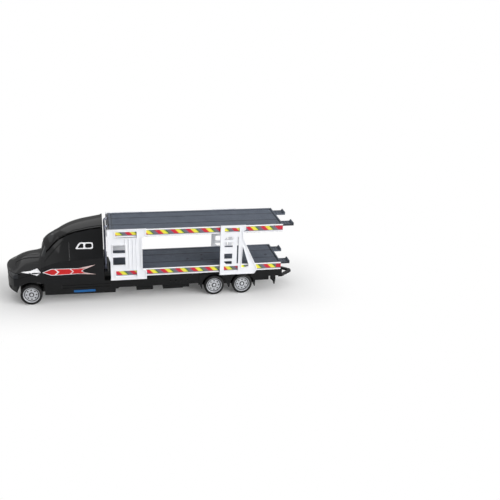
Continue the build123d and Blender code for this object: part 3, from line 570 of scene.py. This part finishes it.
@dataclass
class Decks:
    """Both decks: fine ribs on their floors and printed bands along their sides.

    Attributes:
        truck: Shared places.
        rib_pitch_mm: Distance between the fine ribs.
        rib_width_mm: Width of a rib.
        rib_height_mm: Height of a rib.
        rib_top_share: Width of a rib's top as a share of its foot.
        floor_drop_mm: Depth of the floor below the deck's top.
        floor_half_mm: Half width that the ribs cover.
        line_y_mm: Distance of the deck's long grooves from its middle.
        line_gap_mm: Half width kept free at a long groove.
        end_gap_mm: Length kept free at the deck's front and rear.
        band_height_mm: Height of the printed band.
        band_thickness_mm: Thickness of the band.
        band_start_mm: Distance of the band's front end behind the deck's front.
        block_mm: Length of the red block at the band's rear end.
    """

    truck: Truck
    rib_pitch_mm: float = 1.75
    rib_width_mm: float = 0.5
    rib_height_mm: float = 0.22
    rib_top_share: float = 0.55
    floor_drop_mm: float = 0.6
    floor_half_mm: float = 22.4
    line_y_mm: float = 10.2
    line_gap_mm: float = 1.0
    end_gap_mm: float = 3.8
    band_height_mm: float = 7.8
    band_thickness_mm: float = 0.12
    band_start_mm: float = 1.0
    block_mm: float = 5.2

    # level, shift of its print in millimetres
    LEVELS = (("lower", 3.9), ("upper", 14.4))
    # station and y of each peg ring on the lower deck
    RINGS = ((179.0, -5.6), (194.0, -6.6), (195.0, 4.6), (263.0, -3.0))
    RING_RADIUS_MM = 1.5
    RING_HEIGHT_MM = 0.35

    def build(self) -> None:
        """Dress the decks and add their ribs and bands."""
        self.truck.dress(Finish.SLATE, "lower_deck", "upper_deck", "ramp_")
        for level, phase_mm in self.LEVELS:
            self.ribs(level)
            for side in SIDES:
                self.band(level, side, phase_mm)
        self.rings()

    def rings(self) -> None:
        """Add the low dished rings on the lower deck's floor."""
        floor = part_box("lower_deck")[1].z - self.floor_drop_mm * MM
        mesh = bmesh.new()
        for station, y_mm in self.RINGS:
            middle = (self.truck.at(station), y_mm * MM, floor + self.RING_HEIGHT_MM * MM / 2)
            dished_boss(mesh, Matrix.Translation(middle), self.RING_RADIUS_MM, self.RING_HEIGHT_MM)
        keep_piece(mesh, "lower_deck_rings", Finish.RECESS.material())

    def ribs(self, level: str) -> None:
        """Add the fine lengthwise ribs of one deck's floor.

        Args:
            level: "lower" or "upper".
        """
        low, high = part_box(f"{level}_deck")
        front, rear = low.x + self.end_gap_mm * MM, high.x - self.end_gap_mm * MM
        floor = high.z - self.floor_drop_mm * MM
        half_height = self.rib_height_mm * MM / 2
        count = int(self.floor_half_mm / self.rib_pitch_mm)
        mesh = bmesh.new()
        for index in range(-count, count + 1):
            y_mm = index * self.rib_pitch_mm
            if abs(abs(y_mm) - self.line_y_mm) < self.line_gap_mm:
                continue
            size = (rear - front, self.rib_width_mm * MM, 2 * half_height)
            rib = add_bar(mesh, size, ((front + rear) / 2, y_mm * MM, floor + half_height))
            top = [v for v in rib if v.co.z > floor + half_height]
            centre = Matrix.Translation((0, -y_mm * MM, 0))
            bmesh.ops.scale(mesh, vec=(1.0, self.rib_top_share, 1.0), verts=top, space=centre)
        keep_piece(mesh, f"{level}_deck_ribs", Finish.SLATE.material())

    def band(self, level: str, side: str, phase_mm: float) -> None:
        """Add the printed band along one side of one deck.

        The print runs from left to right as seen from its own side.

        Args:
            level: "lower" or "upper".
            side: "left" or "right".
            phase_mm: Shift of the print along the band.
        """
        sign = SIDES[side]
        low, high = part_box(f"{level}_deck")
        front = low.x + self.band_start_mm * MM
        length = high.x - front
        middle_z = (low.z + high.z) / 2
        thickness = self.band_thickness_mm * MM
        height = self.band_height_mm * MM
        face_y = high.y if sign > 0 else low.y
        mesh = bmesh.new()
        place = (front + length / 2, face_y + sign * thickness / 2, middle_z)
        add_bar(mesh, (length, thickness, height), place)
        print_map = mesh.loops.layers.uv.new("UVMap")
        for face in mesh.faces:
            for loop in face.loops:
                along = high.x - loop.vert.co.x if sign > 0 else loop.vert.co.x - front
                loop[print_map].uv = (along / MM, (loop.vert.co.z - middle_z + height / 2) / MM)
        rear_block = (0.0, self.block_mm) if sign > 0 else (length / MM - self.block_mm, length / MM)
        name = f"{level}_band_{side}"
        material = WarningBand(f"warning_{name}", self.band_height_mm, phase_mm, rear_block).build()
        keep_piece(mesh, name, material)


@dataclass
class Cab:
    """The cab and its prints: a spear and a shield low on each side, an outlined window and a bar, and a
    painted shadow under the roof's edge.

    Attributes:
        truck: Shared places.
        film_mm: Thickness of one layer of print.
        cell_mm: Size of the pieces that the print is divided in to follow the curves.
        reach_mm: Distance outside the cab from which the print is laid on.
        bridge_mm: Half width of a groove that the print bridges.
        weld_mm: Distance below which two corners of a divided print become one.
    """

    truck: Truck
    film_mm: float = 0.06
    cell_mm: float = 1.4
    reach_mm: float = 60.0
    bridge_mm: float = 0.6
    weld_mm: float = 0.02

    # corners of the painted shadow under the roof's edge, along its top and back along its foot
    EAVE = (
        (39.0, 52.4), (44.0, 57.3), (52.0, 65.0), (59.0, 69.0), (66.0, 71.6), (80.0, 74.4), (91.5, 76.0),
        (91.5, 74.6), (80.0, 73.1), (66.0, 70.1), (59.0, 67.3), (52.0, 63.2), (44.0, 55.6), (39.0, 50.8),
    )
    # corners of the white edge round the shield, from its tip along its top and back, and of the red shield
    SHIELD_EDGE = (
        (34.8, 33.7), (43.0, 37.1), (58.0, 36.8), (76.0, 36.3),
        (72.4, 33.6), (76.0, 30.9), (58.0, 30.3), (43.0, 30.2),
    )
    SHIELD = (
        (36.2, 33.7), (43.6, 36.5), (58.0, 36.3), (74.6, 35.8),
        (71.4, 33.6), (74.6, 31.4), (58.0, 30.8), (43.6, 30.8),
    )
    SPEAR = ((14.5, 34.6), (24.0, 35.4), (30.2, 37.2), (33.4, 34.0), (29.8, 30.6), (24.0, 33.0))
    CHEVRON_FRONT = ((46.0, 36.7), (47.3, 36.7), (50.9, 33.6), (47.3, 30.6), (46.0, 30.6), (49.2, 33.6))
    CHEVRON_REAR = ((60.6, 36.4), (61.5, 36.4), (64.6, 33.6), (61.5, 30.7), (60.6, 30.7), (63.4, 33.6))
    PANE_FRONT = ((69.1, 56.4), (74.7, 56.4), (74.7, 60.5), (71.9, 60.5))
    PANE_REAR = ((76.4, 56.4), (82.8, 56.4), (82.8, 60.5), (76.4, 60.5))
    # name, ink, layer, corner radius in millimetres, outline as stations behind the nose and heights
    PRINTS = (
        ("spear", Finish.INK_WHITE, 1, 0.0, SPEAR),
        ("shield_edge", Finish.INK_WHITE, 1, 0.0, SHIELD_EDGE),
        ("shield", Finish.INK_RED, 2, 0.0, SHIELD),
        ("chevron_front", Finish.INK_WHITE, 3, 0.0, CHEVRON_FRONT),
        ("chevron_rear", Finish.INK_WHITE, 3, 0.0, CHEVRON_REAR),
        ("tail_upper", Finish.INK_CREAM, 1, 0.0, ((68.0, 36.5), (85.7, 39.7), (77.0, 36.0), (74.0, 35.0))),
        ("tail_lower", Finish.INK_CREAM, 1, 0.0, ((68.0, 30.6), (85.7, 29.4), (77.0, 31.3), (74.0, 32.2))),
        ("window_frame", Finish.INK_WHITE, 1, 1.7, ((66.6, 55.4), (83.9, 55.4), (83.9, 61.5), (70.9, 61.5))),
        ("window_pane_front", Finish.INK_BLACK, 2, 1.2, PANE_FRONT),
        ("window_pane_rear", Finish.INK_BLACK, 2, 1.8, PANE_REAR),
        ("eave_shadow", Finish.GAP, 1, 0.0, EAVE),
    )
    # corners of the plain bar on the skirt
    BAR = ((63.5, 10.9), (84.5, 10.9), (84.5, 13.3), (63.5, 13.3))
    BAR_CORNER_MM = 0.8

    def build(self) -> None:
        """Dress the cab and lay every print on both its sides and its skirts."""
        self.truck.dress(Finish.CAB_BLACK, "cab_shell", "roof_fairing", "grille")
        self.truck.dress(Finish.SMOKED, "windscreen", "roof_lights")
        self.truck.dress(Finish.LENS, "headlamp_")
        self.truck.dress(Finish.LAVENDER, "exhaust_stacks")
        cab = self.surface("cab_shell", "roof_fairing", "windscreen", "roof_lights")
        for side in SIDES:
            for name, ink, layer, corner_mm, outline in self.PRINTS:
                self.lay(cab, outline, name, ink, side, corner_mm, layer)
            skirt = self.surface(f"side_skirt_{side}")
            self.lay(skirt, self.BAR, "skirt_bar", Finish.INK_BLUE, side, self.BAR_CORNER_MM, 1)

    def surface(self, *nodes: str) -> BVHTree:
        """Make the search tree of some nodes' surface.

        Args:
            nodes: Names of the nodes.

        Returns:
            Search tree of their faces.
        """
        mesh = bmesh.new()
        for node in nodes:
            mesh.from_mesh(self.truck.frame["nodes"][node].data)
        tree = BVHTree.FromBMesh(mesh)
        mesh.free()
        return tree

    def lay(
        self,
        surface: BVHTree,
        outline: Outline,
        name: str,
        finish: Finish,
        side: str,
        corner_mm: float,
        layer: int,
    ) -> None:
        """Lay a flat print on a curved side.

        Args:
            surface: Surface that the print sticks to.
            outline: Stations and heights of its corners.
            name: Name of the print.
            finish: Ink of the print.
            side: "left" or "right".
            corner_mm: Radius of its corners.
            layer: Number of the layer of print, from 1.
        """
        sign = SIDES[side]
        mesh = self.truck.sheet(outline)
        if corner_mm > 0:
            rounding = {"affect": "VERTICES", "segments": 5, "profile": 0.5, "material": -1}
            bmesh.ops.bevel(mesh, geom=mesh.verts[:], offset=corner_mm * MM, **rounding)
        mesh.normal_update()
        bmesh.ops.triangulate(mesh, faces=mesh.faces[:])
        self.divide(mesh)
        bmesh.ops.remove_doubles(mesh, verts=mesh.verts, dist=self.weld_mm * MM)
        missed = []
        for vert in mesh.verts:
            skin = self.skin(surface, vert.co, sign)
            if skin > 0:
                vert.co.y = sign * (skin + (layer - 1) * self.film_mm * MM)
            else:
                missed.append(vert)
        bmesh.ops.delete(mesh, geom=missed, context="VERTS")
        thicken(mesh, sign * self.film_mm * MM)
        bmesh.ops.recalc_face_normals(mesh, faces=mesh.faces)
        keep_piece(mesh, f"{name}_{side}", finish.material())

    def skin(self, surface: BVHTree, place: Vector, sign: int) -> float:
        """Measure how far out the surface is, with its narrow grooves bridged.

        Args:
            surface: Surface that the print sticks to.
            place: Place of which X and Z count.
            sign: -1 for the left, 1 for the right.

        Returns:
            Distance of the surface from the truck's middle, or 0 where there is none.
        """
        inwards = Vector((0, -sign, 0))
        start = Vector((place.x, sign * self.reach_mm * MM, place.z))
        step = self.bridge_mm * MM
        own = surface.ray_cast(start, inwards)[0]
        found = [own.y * sign if own else 0.0]
        for shift in (Vector((step, 0, 0)), Vector((0, 0, step))):
            pair = [surface.ray_cast(start + way * shift, inwards)[0] for way in (-1, 1)]
            if all(pair):
                found.append(sum(hit.y * sign for hit in pair) / 2)
        return max(found)

    def divide(self, mesh: bmesh.types.BMesh) -> None:
        """Cut the print into small cells, so that it can follow a curve.

        Args:
            mesh: Flat print.
        """
        for way in (Vector((1, 0, 0)), Vector((0, 0, 1))):
            reach = [vert.co.dot(way) for vert in mesh.verts]
            low, high = min(reach), max(reach)
            steps = max(1, int((high - low) / (self.cell_mm * MM)))
            for step in range(1, steps):
                place = way * (low + (high - low) * step / steps)
                geom = mesh.verts[:] + mesh.edges[:] + mesh.faces[:]
                bmesh.ops.bisect_plane(mesh, geom=geom, plane_co=place, plane_no=way)


@dataclass
class Chassis:
    """Everything black below the decks: inner walls at the wheels, and a brace and studs on each sill.

    Attributes:
        truck: Shared places.
        wall_mm: Thickness of an inner wall.
        wall_foot_mm: Height of its lower edge.
        slot_half_mm: Half width of the slot that clears an axle.
        slot_top_mm: Height of the slot's top.
        stud_radius_mm: Radius of a stud.
        stud_height_mm: Height of a stud.
        stud_z_mm: Height of the studs on the sill.
    """

    truck: Truck
    wall_mm: float = 0.9
    wall_foot_mm: float = 8.2
    slot_half_mm: float = 2.2
    slot_top_mm: float = 12.6
    stud_radius_mm: float = 0.9
    stud_height_mm: float = 0.5
    stud_z_mm: float = 17.6

    # name, front and rear station, top, distance from the middle, stations of the axles
    WALLS = (
        ("front", 12.0, 36.5, 20.6, 13.2, (23.1,)),
        ("rear", 189.0, 247.0, 23.0, 16.7, (204.1, 233.5)),
    )
    STUDS = (159.8, 165.0, 170.0, 177.1)
    # stations and heights of the slanted brace behind the side skirt
    BRACE = ((103.5, 12.4), (106.8, 12.4), (114.4, 20.4), (114.4, 22.3), (110.6, 22.3), (103.5, 15.0))
    BRACE_Y_MM = 24.4

    def build(self) -> None:
        """Dress the chassis and add its small forms."""
        names = ("chassis_frame", "front_bumper", "hitch_loop", "mudguard_", "rear_posts", "side_skirt_")
        self.truck.dress(Finish.CHASSIS_BLACK, *names, "tank_box", "under_boxes")
        for side in SIDES:
            for name, front, rear, top, y_mm, axles in self.WALLS:
                self.wall(f"{name}_wheel_wall", side, (front, rear), top, y_mm, axles)
            self.plate("sill_brace", side, self.BRACE, self.BRACE_Y_MM)
            self.studs(side)

    def wall(
        self, name: str, side: str, reach: Point, top: float, y_mm: float, axles: tuple[float, ...]
    ) -> None:
        """Add an inner wall behind the wheels of one side.

        Args:
            name: Name of the wall.
            side: "left" or "right".
            reach: Stations of its front and rear ends.
            top: Height of its upper edge in millimetres.
            y_mm: Distance of its inner face from the truck's middle.
            axles: Stations of the axles that pass through it.
        """
        outline = [(reach[0], top), (reach[0], self.wall_foot_mm)]
        for axle in axles:
            before, behind = axle - self.slot_half_mm, axle + self.slot_half_mm
            outline += [(before, self.wall_foot_mm), (before, self.slot_top_mm)]
            outline += [(behind, self.slot_top_mm), (behind, self.wall_foot_mm)]
        outline += [(reach[1], self.wall_foot_mm), (reach[1], top)]
        self.plate(name, side, tuple(outline), y_mm)

    def plate(self, name: str, side: str, outline: Outline, y_mm: float) -> None:
        """Add an upright plate along the truck.

        Args:
            name: Name of the plate.
            side: "left" or "right".
            outline: Stations and heights of its corners.
            y_mm: Distance of its inner face from the truck's middle.
        """
        mesh = self.truck.sheet(outline, SIDES[side] * y_mm)
        thicken(mesh, SIDES[side] * self.wall_mm * MM)
        bmesh.ops.triangulate(mesh, faces=[face for face in mesh.faces if len(face.verts) > 4])
        bmesh.ops.recalc_face_normals(mesh, faces=mesh.faces)
        keep_piece(mesh, f"{name}_{side}", Finish.CHASSIS_BLACK.material())

    def studs(self, side: str) -> None:
        """Add the studs on the sill of one side.

        Args:
            side: "left" or "right".
        """
        sign = SIDES[side]
        low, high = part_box("chassis_frame")
        face_y = high.y if sign > 0 else low.y
        middle_y = face_y + sign * self.stud_height_mm * MM / 2
        turn = Matrix.Rotation(-sign * math.pi / 2, 4, "X")
        mesh = bmesh.new()
        for station in self.STUDS:
            place = Vector((self.truck.at(station), middle_y, self.stud_z_mm * MM))
            dished_boss(mesh, Matrix.Translation(place) @ turn, self.stud_radius_mm, self.stud_height_mm)
        keep_piece(mesh, f"sill_studs_{side}", Finish.CHASSIS_BLACK.material())


@dataclass
class Panels:
    """The white side panels and ladders, with the fine upright ribs of the front panels.

    Attributes:
        truck: Shared places.
        rib_low_mm: Height of the ribs' lower ends.
        rib_high_mm: Height of their upper ends.
        rib_width_mm: Width of a rib.
        rib_proud_mm: Height of a rib over the panel's sheet.
        rib_round_share: Rounding of a rib's edges as a share of its width.
        sheet_drop_mm: Depth of the sheet below the panel's rim.
    """

    truck: Truck
    rib_low_mm: float = 32.0
    rib_high_mm: float = 66.0
    rib_width_mm: float = 0.55
    rib_proud_mm: float = 0.3
    rib_round_share: float = 0.3
    sheet_drop_mm: float = 0.35

    # distances of the ribs behind the panel's front edge
    RIBS = (17.4, 20.9, 24.6, 28.1)

    def build(self) -> None:
        """Dress the panels and ladders and add the ribs."""
        self.truck.dress(Finish.WHITE, "front_panel_", "rear_tower_")
        for side_name in SIDES:
            self.ribs(side_name)

    def ribs(self, side_name: str) -> None:
        """Add the upright ribs of one front panel.

        Args:
            side_name: "left" or "right".
        """
        sign = SIDES[side_name]
        low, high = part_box(f"front_panel_{side_name}")
        sheet = (high.y if sign > 0 else low.y) - sign * self.sheet_drop_mm * MM
        height = (self.rib_high_mm - self.rib_low_mm) * MM
        middle = (self.rib_high_mm + self.rib_low_mm) / 2 * MM
        proud = self.rib_proud_mm * MM
        mesh = bmesh.new()
        for behind_mm in self.RIBS:
            size = (self.rib_width_mm * MM, 2 * proud, height)
            add_bar(mesh, size, (low.x + behind_mm * MM, sheet, middle))
        edges = [edge for edge in mesh.edges if abs(edge.verts[0].co.z - edge.verts[1].co.z) > proud]
        offset = self.rib_round_share * self.rib_width_mm * MM
        rounding = {"affect": "EDGES", "segments": 2, "profile": 0.5, "material": -1}
        bmesh.ops.bevel(mesh, geom=edges, offset=offset, **rounding)
        keep_piece(mesh, f"front_panel_ribs_{side_name}", Finish.WHITE.material())


@dataclass
class Tyre:
    """A toy tyre with rounded shoulders and lugs round its tread.

    Attributes:
        lugs: Number of lugs on each shoulder.
        groove_mm: Depth of the gaps between the lugs.
        slope_mm: Width of the slope at a gap's edge.
        crown_mm: Width of the band without lugs in the middle of the tread.
        shoulder_mm: Width of the rounded shoulder.
        bead_mm: Width of the flat bead beside the rim.
        bulge_mm: Depth of the side wall's dish.
        seat_mm: Gap between the tyre and its rim.
        wall_share: Depth of the side wall's upper end below the tread, as a share of the shoulder.
        round_share: Place of the rounding's middle, as a share of the shoulder.
        skim_mm: Depth below the tread down to which a face belongs to it.
        weld_mm: Distance below which the spin's first and last corners become one.
        nudge: Shift in steps round the tyre that keeps a centre on a step from falling either way.
    """

    lugs: int = 40
    groove_mm: float = 0.32
    slope_mm: float = 0.08
    crown_mm: float = 2.4
    shoulder_mm: float = 0.9
    bead_mm: float = 0.7
    bulge_mm: float = 0.15
    seat_mm: float = 0.05
    wall_share: float = 1.3
    round_share: float = 0.35
    skim_mm: float = 0.2
    weld_mm: float = 0.0001
    nudge: float = 0.001

    def build(self, node: str, hub: str, body: str) -> None:
        """Replace one tyre.

        Args:
            node: Node of the tyre.
            hub: Node of the hub that it sits on.
            body: Body that it turns with.
        """
        low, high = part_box(node)
        rim_low, rim_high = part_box(hub)
        axle = Vector(((low.x + high.x) / 2, 0, (low.z + high.z) / 2))
        radius = (high.z - low.z) / 2
        inside = (rim_high.z - rim_low.z) / 2 + self.seat_mm * MM
        shoulder = self.shoulder_mm * MM
        half = self.crown_mm / 2 * MM
        middle = (low.y + high.y) / 2
        # distance from the side wall and radius, from the bead to the edge of the crown
        profile = (
            (0.0, inside),
            (0.0, inside + self.bead_mm * MM),
            (self.bulge_mm * MM, radius - self.wall_share * shoulder),
            (self.round_share * shoulder, radius - self.round_share * shoulder),
            (shoulder, radius),
            ((high.y - low.y) / 2 - half, radius),
        )
        section = [(low.y + inset, r) for inset, r in profile]
        section += [(high.y - inset, r) for inset, r in reversed(profile)]
        mesh = bmesh.new()
        ring = [mesh.verts.new((0.0, y, r)) for y, r in section]
        edges = [mesh.edges.new((ring[i], ring[(i + 1) % len(ring)])) for i in range(len(ring))]
        turn = {"cent": (0, 0, 0), "axis": (0, 1, 0), "angle": 2 * math.pi, "steps": 2 * self.lugs}
        bmesh.ops.spin(mesh, geom=ring + edges, use_merge=True, use_duplicate=False, **turn)
        bmesh.ops.remove_doubles(mesh, verts=mesh.verts, dist=self.weld_mm * MM)
        bmesh.ops.recalc_face_normals(mesh, faces=mesh.faces)
        gaps = [f for f in mesh.faces if self.is_gap(f, radius, middle, half)]
        bmesh.ops.inset_individual(mesh, faces=gaps, thickness=self.slope_mm * MM)
        for face in gaps:
            centre = face.calc_center_median()
            inward = -Vector((centre.x, 0, centre.z)).normalized() * self.groove_mm * MM
            bmesh.ops.translate(mesh, vec=inward, verts=face.verts)
        bmesh.ops.translate(mesh, vec=axle, verts=mesh.verts)
        piece = keep_piece(mesh, f"{node}_tread", Finish.TYRE.material(), body)
        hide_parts(node)

    def is_gap(self, face: bmesh.types.BMFace, radius: float, middle: float, half: float) -> bool:
        """Tell whether a face of the spun tyre becomes a gap between two lugs.

        Args:
            face: Face of the tyre, still centred on its axle.
            radius: Radius of the tread.
            middle: Y of the tread's middle.
            half: Half width of the crown.

        Returns:
            Whether it is every second face on a shoulder, with both shoulders out of step.
        """
        centre = face.calc_center_median()
        on_tread = math.hypot(centre.x, centre.z) > radius - self.skim_mm * MM
        beside_crown = abs(centre.y - middle) > half
        turn = math.atan2(centre.z, centre.x) / (2 * math.pi) * 2 * self.lugs
        odd = math.floor(turn + self.nudge) % 2 == (1 if centre.y > middle else 0)
        return on_tread and beside_crown and odd


@dataclass
class Wheels:
    """All three wheelsets: silver discs, treaded tyres and steel rods.

    Attributes:
        truck: Shared places.
    """

    truck: Truck

    def build(self) -> None:
        """Dress the wheels and give them their tyres."""
        self.truck.dress(Finish.SILVER, "hub_")
        self.truck.dress(Finish.STEEL, "axle_")
        self.truck.dress(Finish.TYRE, "tyre_")
        tyre = Tyre()
        for name in list(self.truck.frame["nodes"]):
            if name.startswith("tyre_"):
                tyre.build(name, name.replace("tyre_", "hub_"), f"{name.split('_')[1]}_wheels")


@dataclass
class Studio:
    """White paper floor, soft lamps and the photograph's camera.

    Attributes:
        eye_mm: Place of the camera in the frame.
        yaw_deg: Turn of the view from straight across towards the rear.
        pitch_deg: Downward tilt of the view.
        roll_deg: Turn of the picture.
        focal_px: Focal length for a picture of 500 pixels.
        picture_px: Width of that picture.
        sensor_mm: Width of the camera's sensor.
        paper: sRGB hex of the floor as the camera sees it.
        paper_shade: sRGB hex of the floor as the truck sees it.
        floor_glow: Light that the floor shows to the camera beside what falls on it.
        near_m: Distance from the truck at which the floor starts to fade into the background.
        far_m: Distance at which it has become the background.
        sky_low: Strength of the surroundings at the horizon.
        sky_high: Strength of the surroundings overhead.
        floor_half_m: Half of the floor's width.
        clip_m: Distance at which the camera starts to see.
    """

    eye_mm: Triple = (-58.34, -683.74, 312.02)
    yaw_deg: float = 13.07
    pitch_deg: float = 21.36
    roll_deg: float = 2.33
    focal_px: float = 708.13
    picture_px: float = 500.0
    sensor_mm: float = 36.0
    paper: str = "#ececec"
    paper_shade: str = "#a4a4a4"
    floor_glow: float = 0.08
    near_m: float = 0.006
    far_m: float = 0.07
    sky_low: float = 0.15
    sky_high: float = 0.75
    floor_half_m: float = 12.0
    clip_m: float = 0.01

    # lamp: name, place in metres, width, height, power in watts
    LAMPS = (
        ("left_lamp", (-2.4, -0.4, 0.8), 2.6, 1.6, 9.0),
        ("right_lamp", (1.7, -1.6, 0.75), 2.4, 1.2, 70.0),
        ("back_lamp", (0.1, 1.0, 1.5), 3.0, 1.6, 7.0),
    )

    def build(self) -> None:
        """Set the stage up."""
        self.camera()
        self.floor()
        self.world()
        for row in self.LAMPS:
            self.lamp(*row)
        bpy.context.scene.view_settings.view_transform = "Standard"

    def camera(self) -> None:
        """Place the camera as the photograph's."""
        yaw, pitch, roll = (math.radians(a) for a in (self.yaw_deg, self.pitch_deg, self.roll_deg))
        ahead = Vector((math.sin(yaw) * math.cos(pitch), math.cos(yaw) * math.cos(pitch), -math.sin(pitch)))
        right = Vector((math.cos(yaw), -math.sin(yaw), 0))
        up = right.cross(ahead)
        right_rolled = math.cos(roll) * right + math.sin(roll) * up
        up_rolled = -math.sin(roll) * right + math.cos(roll) * up
        data = bpy.data.cameras.new("photo_camera")
        data.sensor_width = self.sensor_mm
        data.lens = self.focal_px / self.picture_px * self.sensor_mm
        data.clip_start = self.clip_m
        camera = bpy.data.objects.new("photo_camera", data)
        turn = Matrix((right_rolled, up_rolled, -ahead)).transposed().to_4x4()
        camera.matrix_world = Matrix.Translation(Vector(self.eye_mm) * MM) @ turn
        bpy.context.scene.collection.objects.link(camera)
        bpy.context.scene.camera = camera

    def lamp(self, name: str, place: Triple, width: float, height: float, power: float) -> None:
        """Add a soft lamp that points at the truck.

        Args:
            name: Name of the lamp.
            place: Its place in metres.
            width: Width of its face.
            height: Height of its face.
            power: Power in watts.
        """
        data = bpy.data.lights.new(name, "AREA")
        data.shape = "RECTANGLE"
        data.size, data.size_y, data.energy = width, height, power
        lamp = bpy.data.objects.new(name, data)
        lamp.location = place
        lamp.rotation_euler = (-Vector(place)).to_track_quat("-Z", "Y").to_euler()
        bpy.context.scene.collection.objects.link(lamp)

    def floor(self) -> None:
        """Add the white floor, which keeps the truck's shadow and fades into the background."""
        mesh = bmesh.new()
        bmesh.ops.create_grid(mesh, x_segments=1, y_segments=1, size=self.floor_half_m)
        data = bpy.data.meshes.new("studio_floor")
        mesh.to_mesh(data)
        mesh.free()
        floor = bpy.data.objects.new("studio_floor", data)
        bpy.context.scene.collection.objects.link(floor)
        floor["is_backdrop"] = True
        data.materials.append(self.paper_material())

    def paper_material(self) -> bpy.types.Material:
        """Build the floor's paper: matt white, greyer to the truck's own reflections.

        Returns:
            The paper, which fades to plain white away from the truck.
        """
        material, tree = new_material("studio_paper")
        seen = add_node(tree, "LightPath").outputs["Is Camera Ray"]
        tones = {"A": linear(self.paper_shade), "B": linear(self.paper)}
        tone = add_node(tree, "Mix", {"data_type": "RGBA"}, tones, {"Factor": seen})
        paper = add_node(tree, "BsdfDiffuse", links={"Color": tone.outputs["Result"]})
        glow = add_node(tree, "Math", {"operation": "MULTIPLY"}, {1: self.floor_glow}, {0: seen})
        near_light = add_node(tree, "Emission", links={"Strength": glow.outputs[0]})
        near = add_node(tree, "AddShader", links={0: paper.outputs[0], 1: near_light.outputs[0]})
        far = add_node(tree, "Emission")
        place = add_node(tree, "TexCoord").outputs["Object"]
        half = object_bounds()[1]
        for operation, values in (
            ("ABSOLUTE", {}),
            ("SUBTRACT", {1: (half.x, half.y, 0.0)}),
            ("MAXIMUM", {1: (0.0, 0.0, 0.0)}),
        ):
            step = add_node(tree, "VectorMath", {"operation": operation}, values, {0: place})
            place = step.outputs["Vector"]
        distance = add_node(tree, "VectorMath", {"operation": "LENGTH"}, links={0: place})
        span = {"From Min": self.near_m, "From Max": self.far_m}
        links = {"Value": distance.outputs["Value"]}
        fade = add_node(tree, "MapRange", {"interpolation_type": "SMOOTHSTEP"}, span, links).outputs["Result"]
        faded = add_node(tree, "Math", {"operation": "MULTIPLY"}, links={0: fade, 1: seen}).outputs[0]
        both = add_node(tree, "MixShader", links={0: faded, 1: near.outputs[0], 2: far.outputs[0]})
        add_node(tree, "OutputMaterial", links={"Surface": both.outputs[0]})
        return material

    def world(self) -> None:
        """Light the truck from all round, brighter from above, with white behind it for the camera."""
        world = bpy.data.worlds.new("studio")
        world.use_nodes = True
        tree = world.node_tree
        tree.nodes.clear()
        direction = add_node(tree, "TexCoord").outputs["Generated"]
        axes = add_node(tree, "SeparateXYZ", links={"Vector": direction})
        span = {"To Min": self.sky_low, "To Max": self.sky_high}
        sky = add_node(tree, "MapRange", None, span, {"Value": axes.outputs["Z"]}).outputs["Result"]
        paths = add_node(tree, "LightPath").outputs
        rays = {0: paths["Is Camera Ray"], 1: paths["Is Transmission Ray"]}
        seen = add_node(tree, "Math", {"operation": "MAXIMUM"}, links=rays).outputs[0]
        strength = add_node(tree, "Mix", None, {"B": 1.0}, {"Factor": seen, "A": sky}).outputs["Result"]
        white = {"Color": (1.0, 1.0, 1.0, 1.0)}
        light = add_node(tree, "Background", None, white, {"Strength": strength})
        add_node(tree, "OutputWorld", links={"Surface": light.outputs[0]})
        bpy.context.scene.world = world


def main() -> None:
    """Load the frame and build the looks."""
    logging.basicConfig(level=logging.INFO, format="%(message)s")
    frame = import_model()
    truck = Truck(frame)
    Studio().build()
    Chassis(truck).build()
    Panels(truck).build()
    Decks(truck).build()
    Cab(truck).build()
    Wheels(truck).build()


if __name__ == "__main__":
    main()
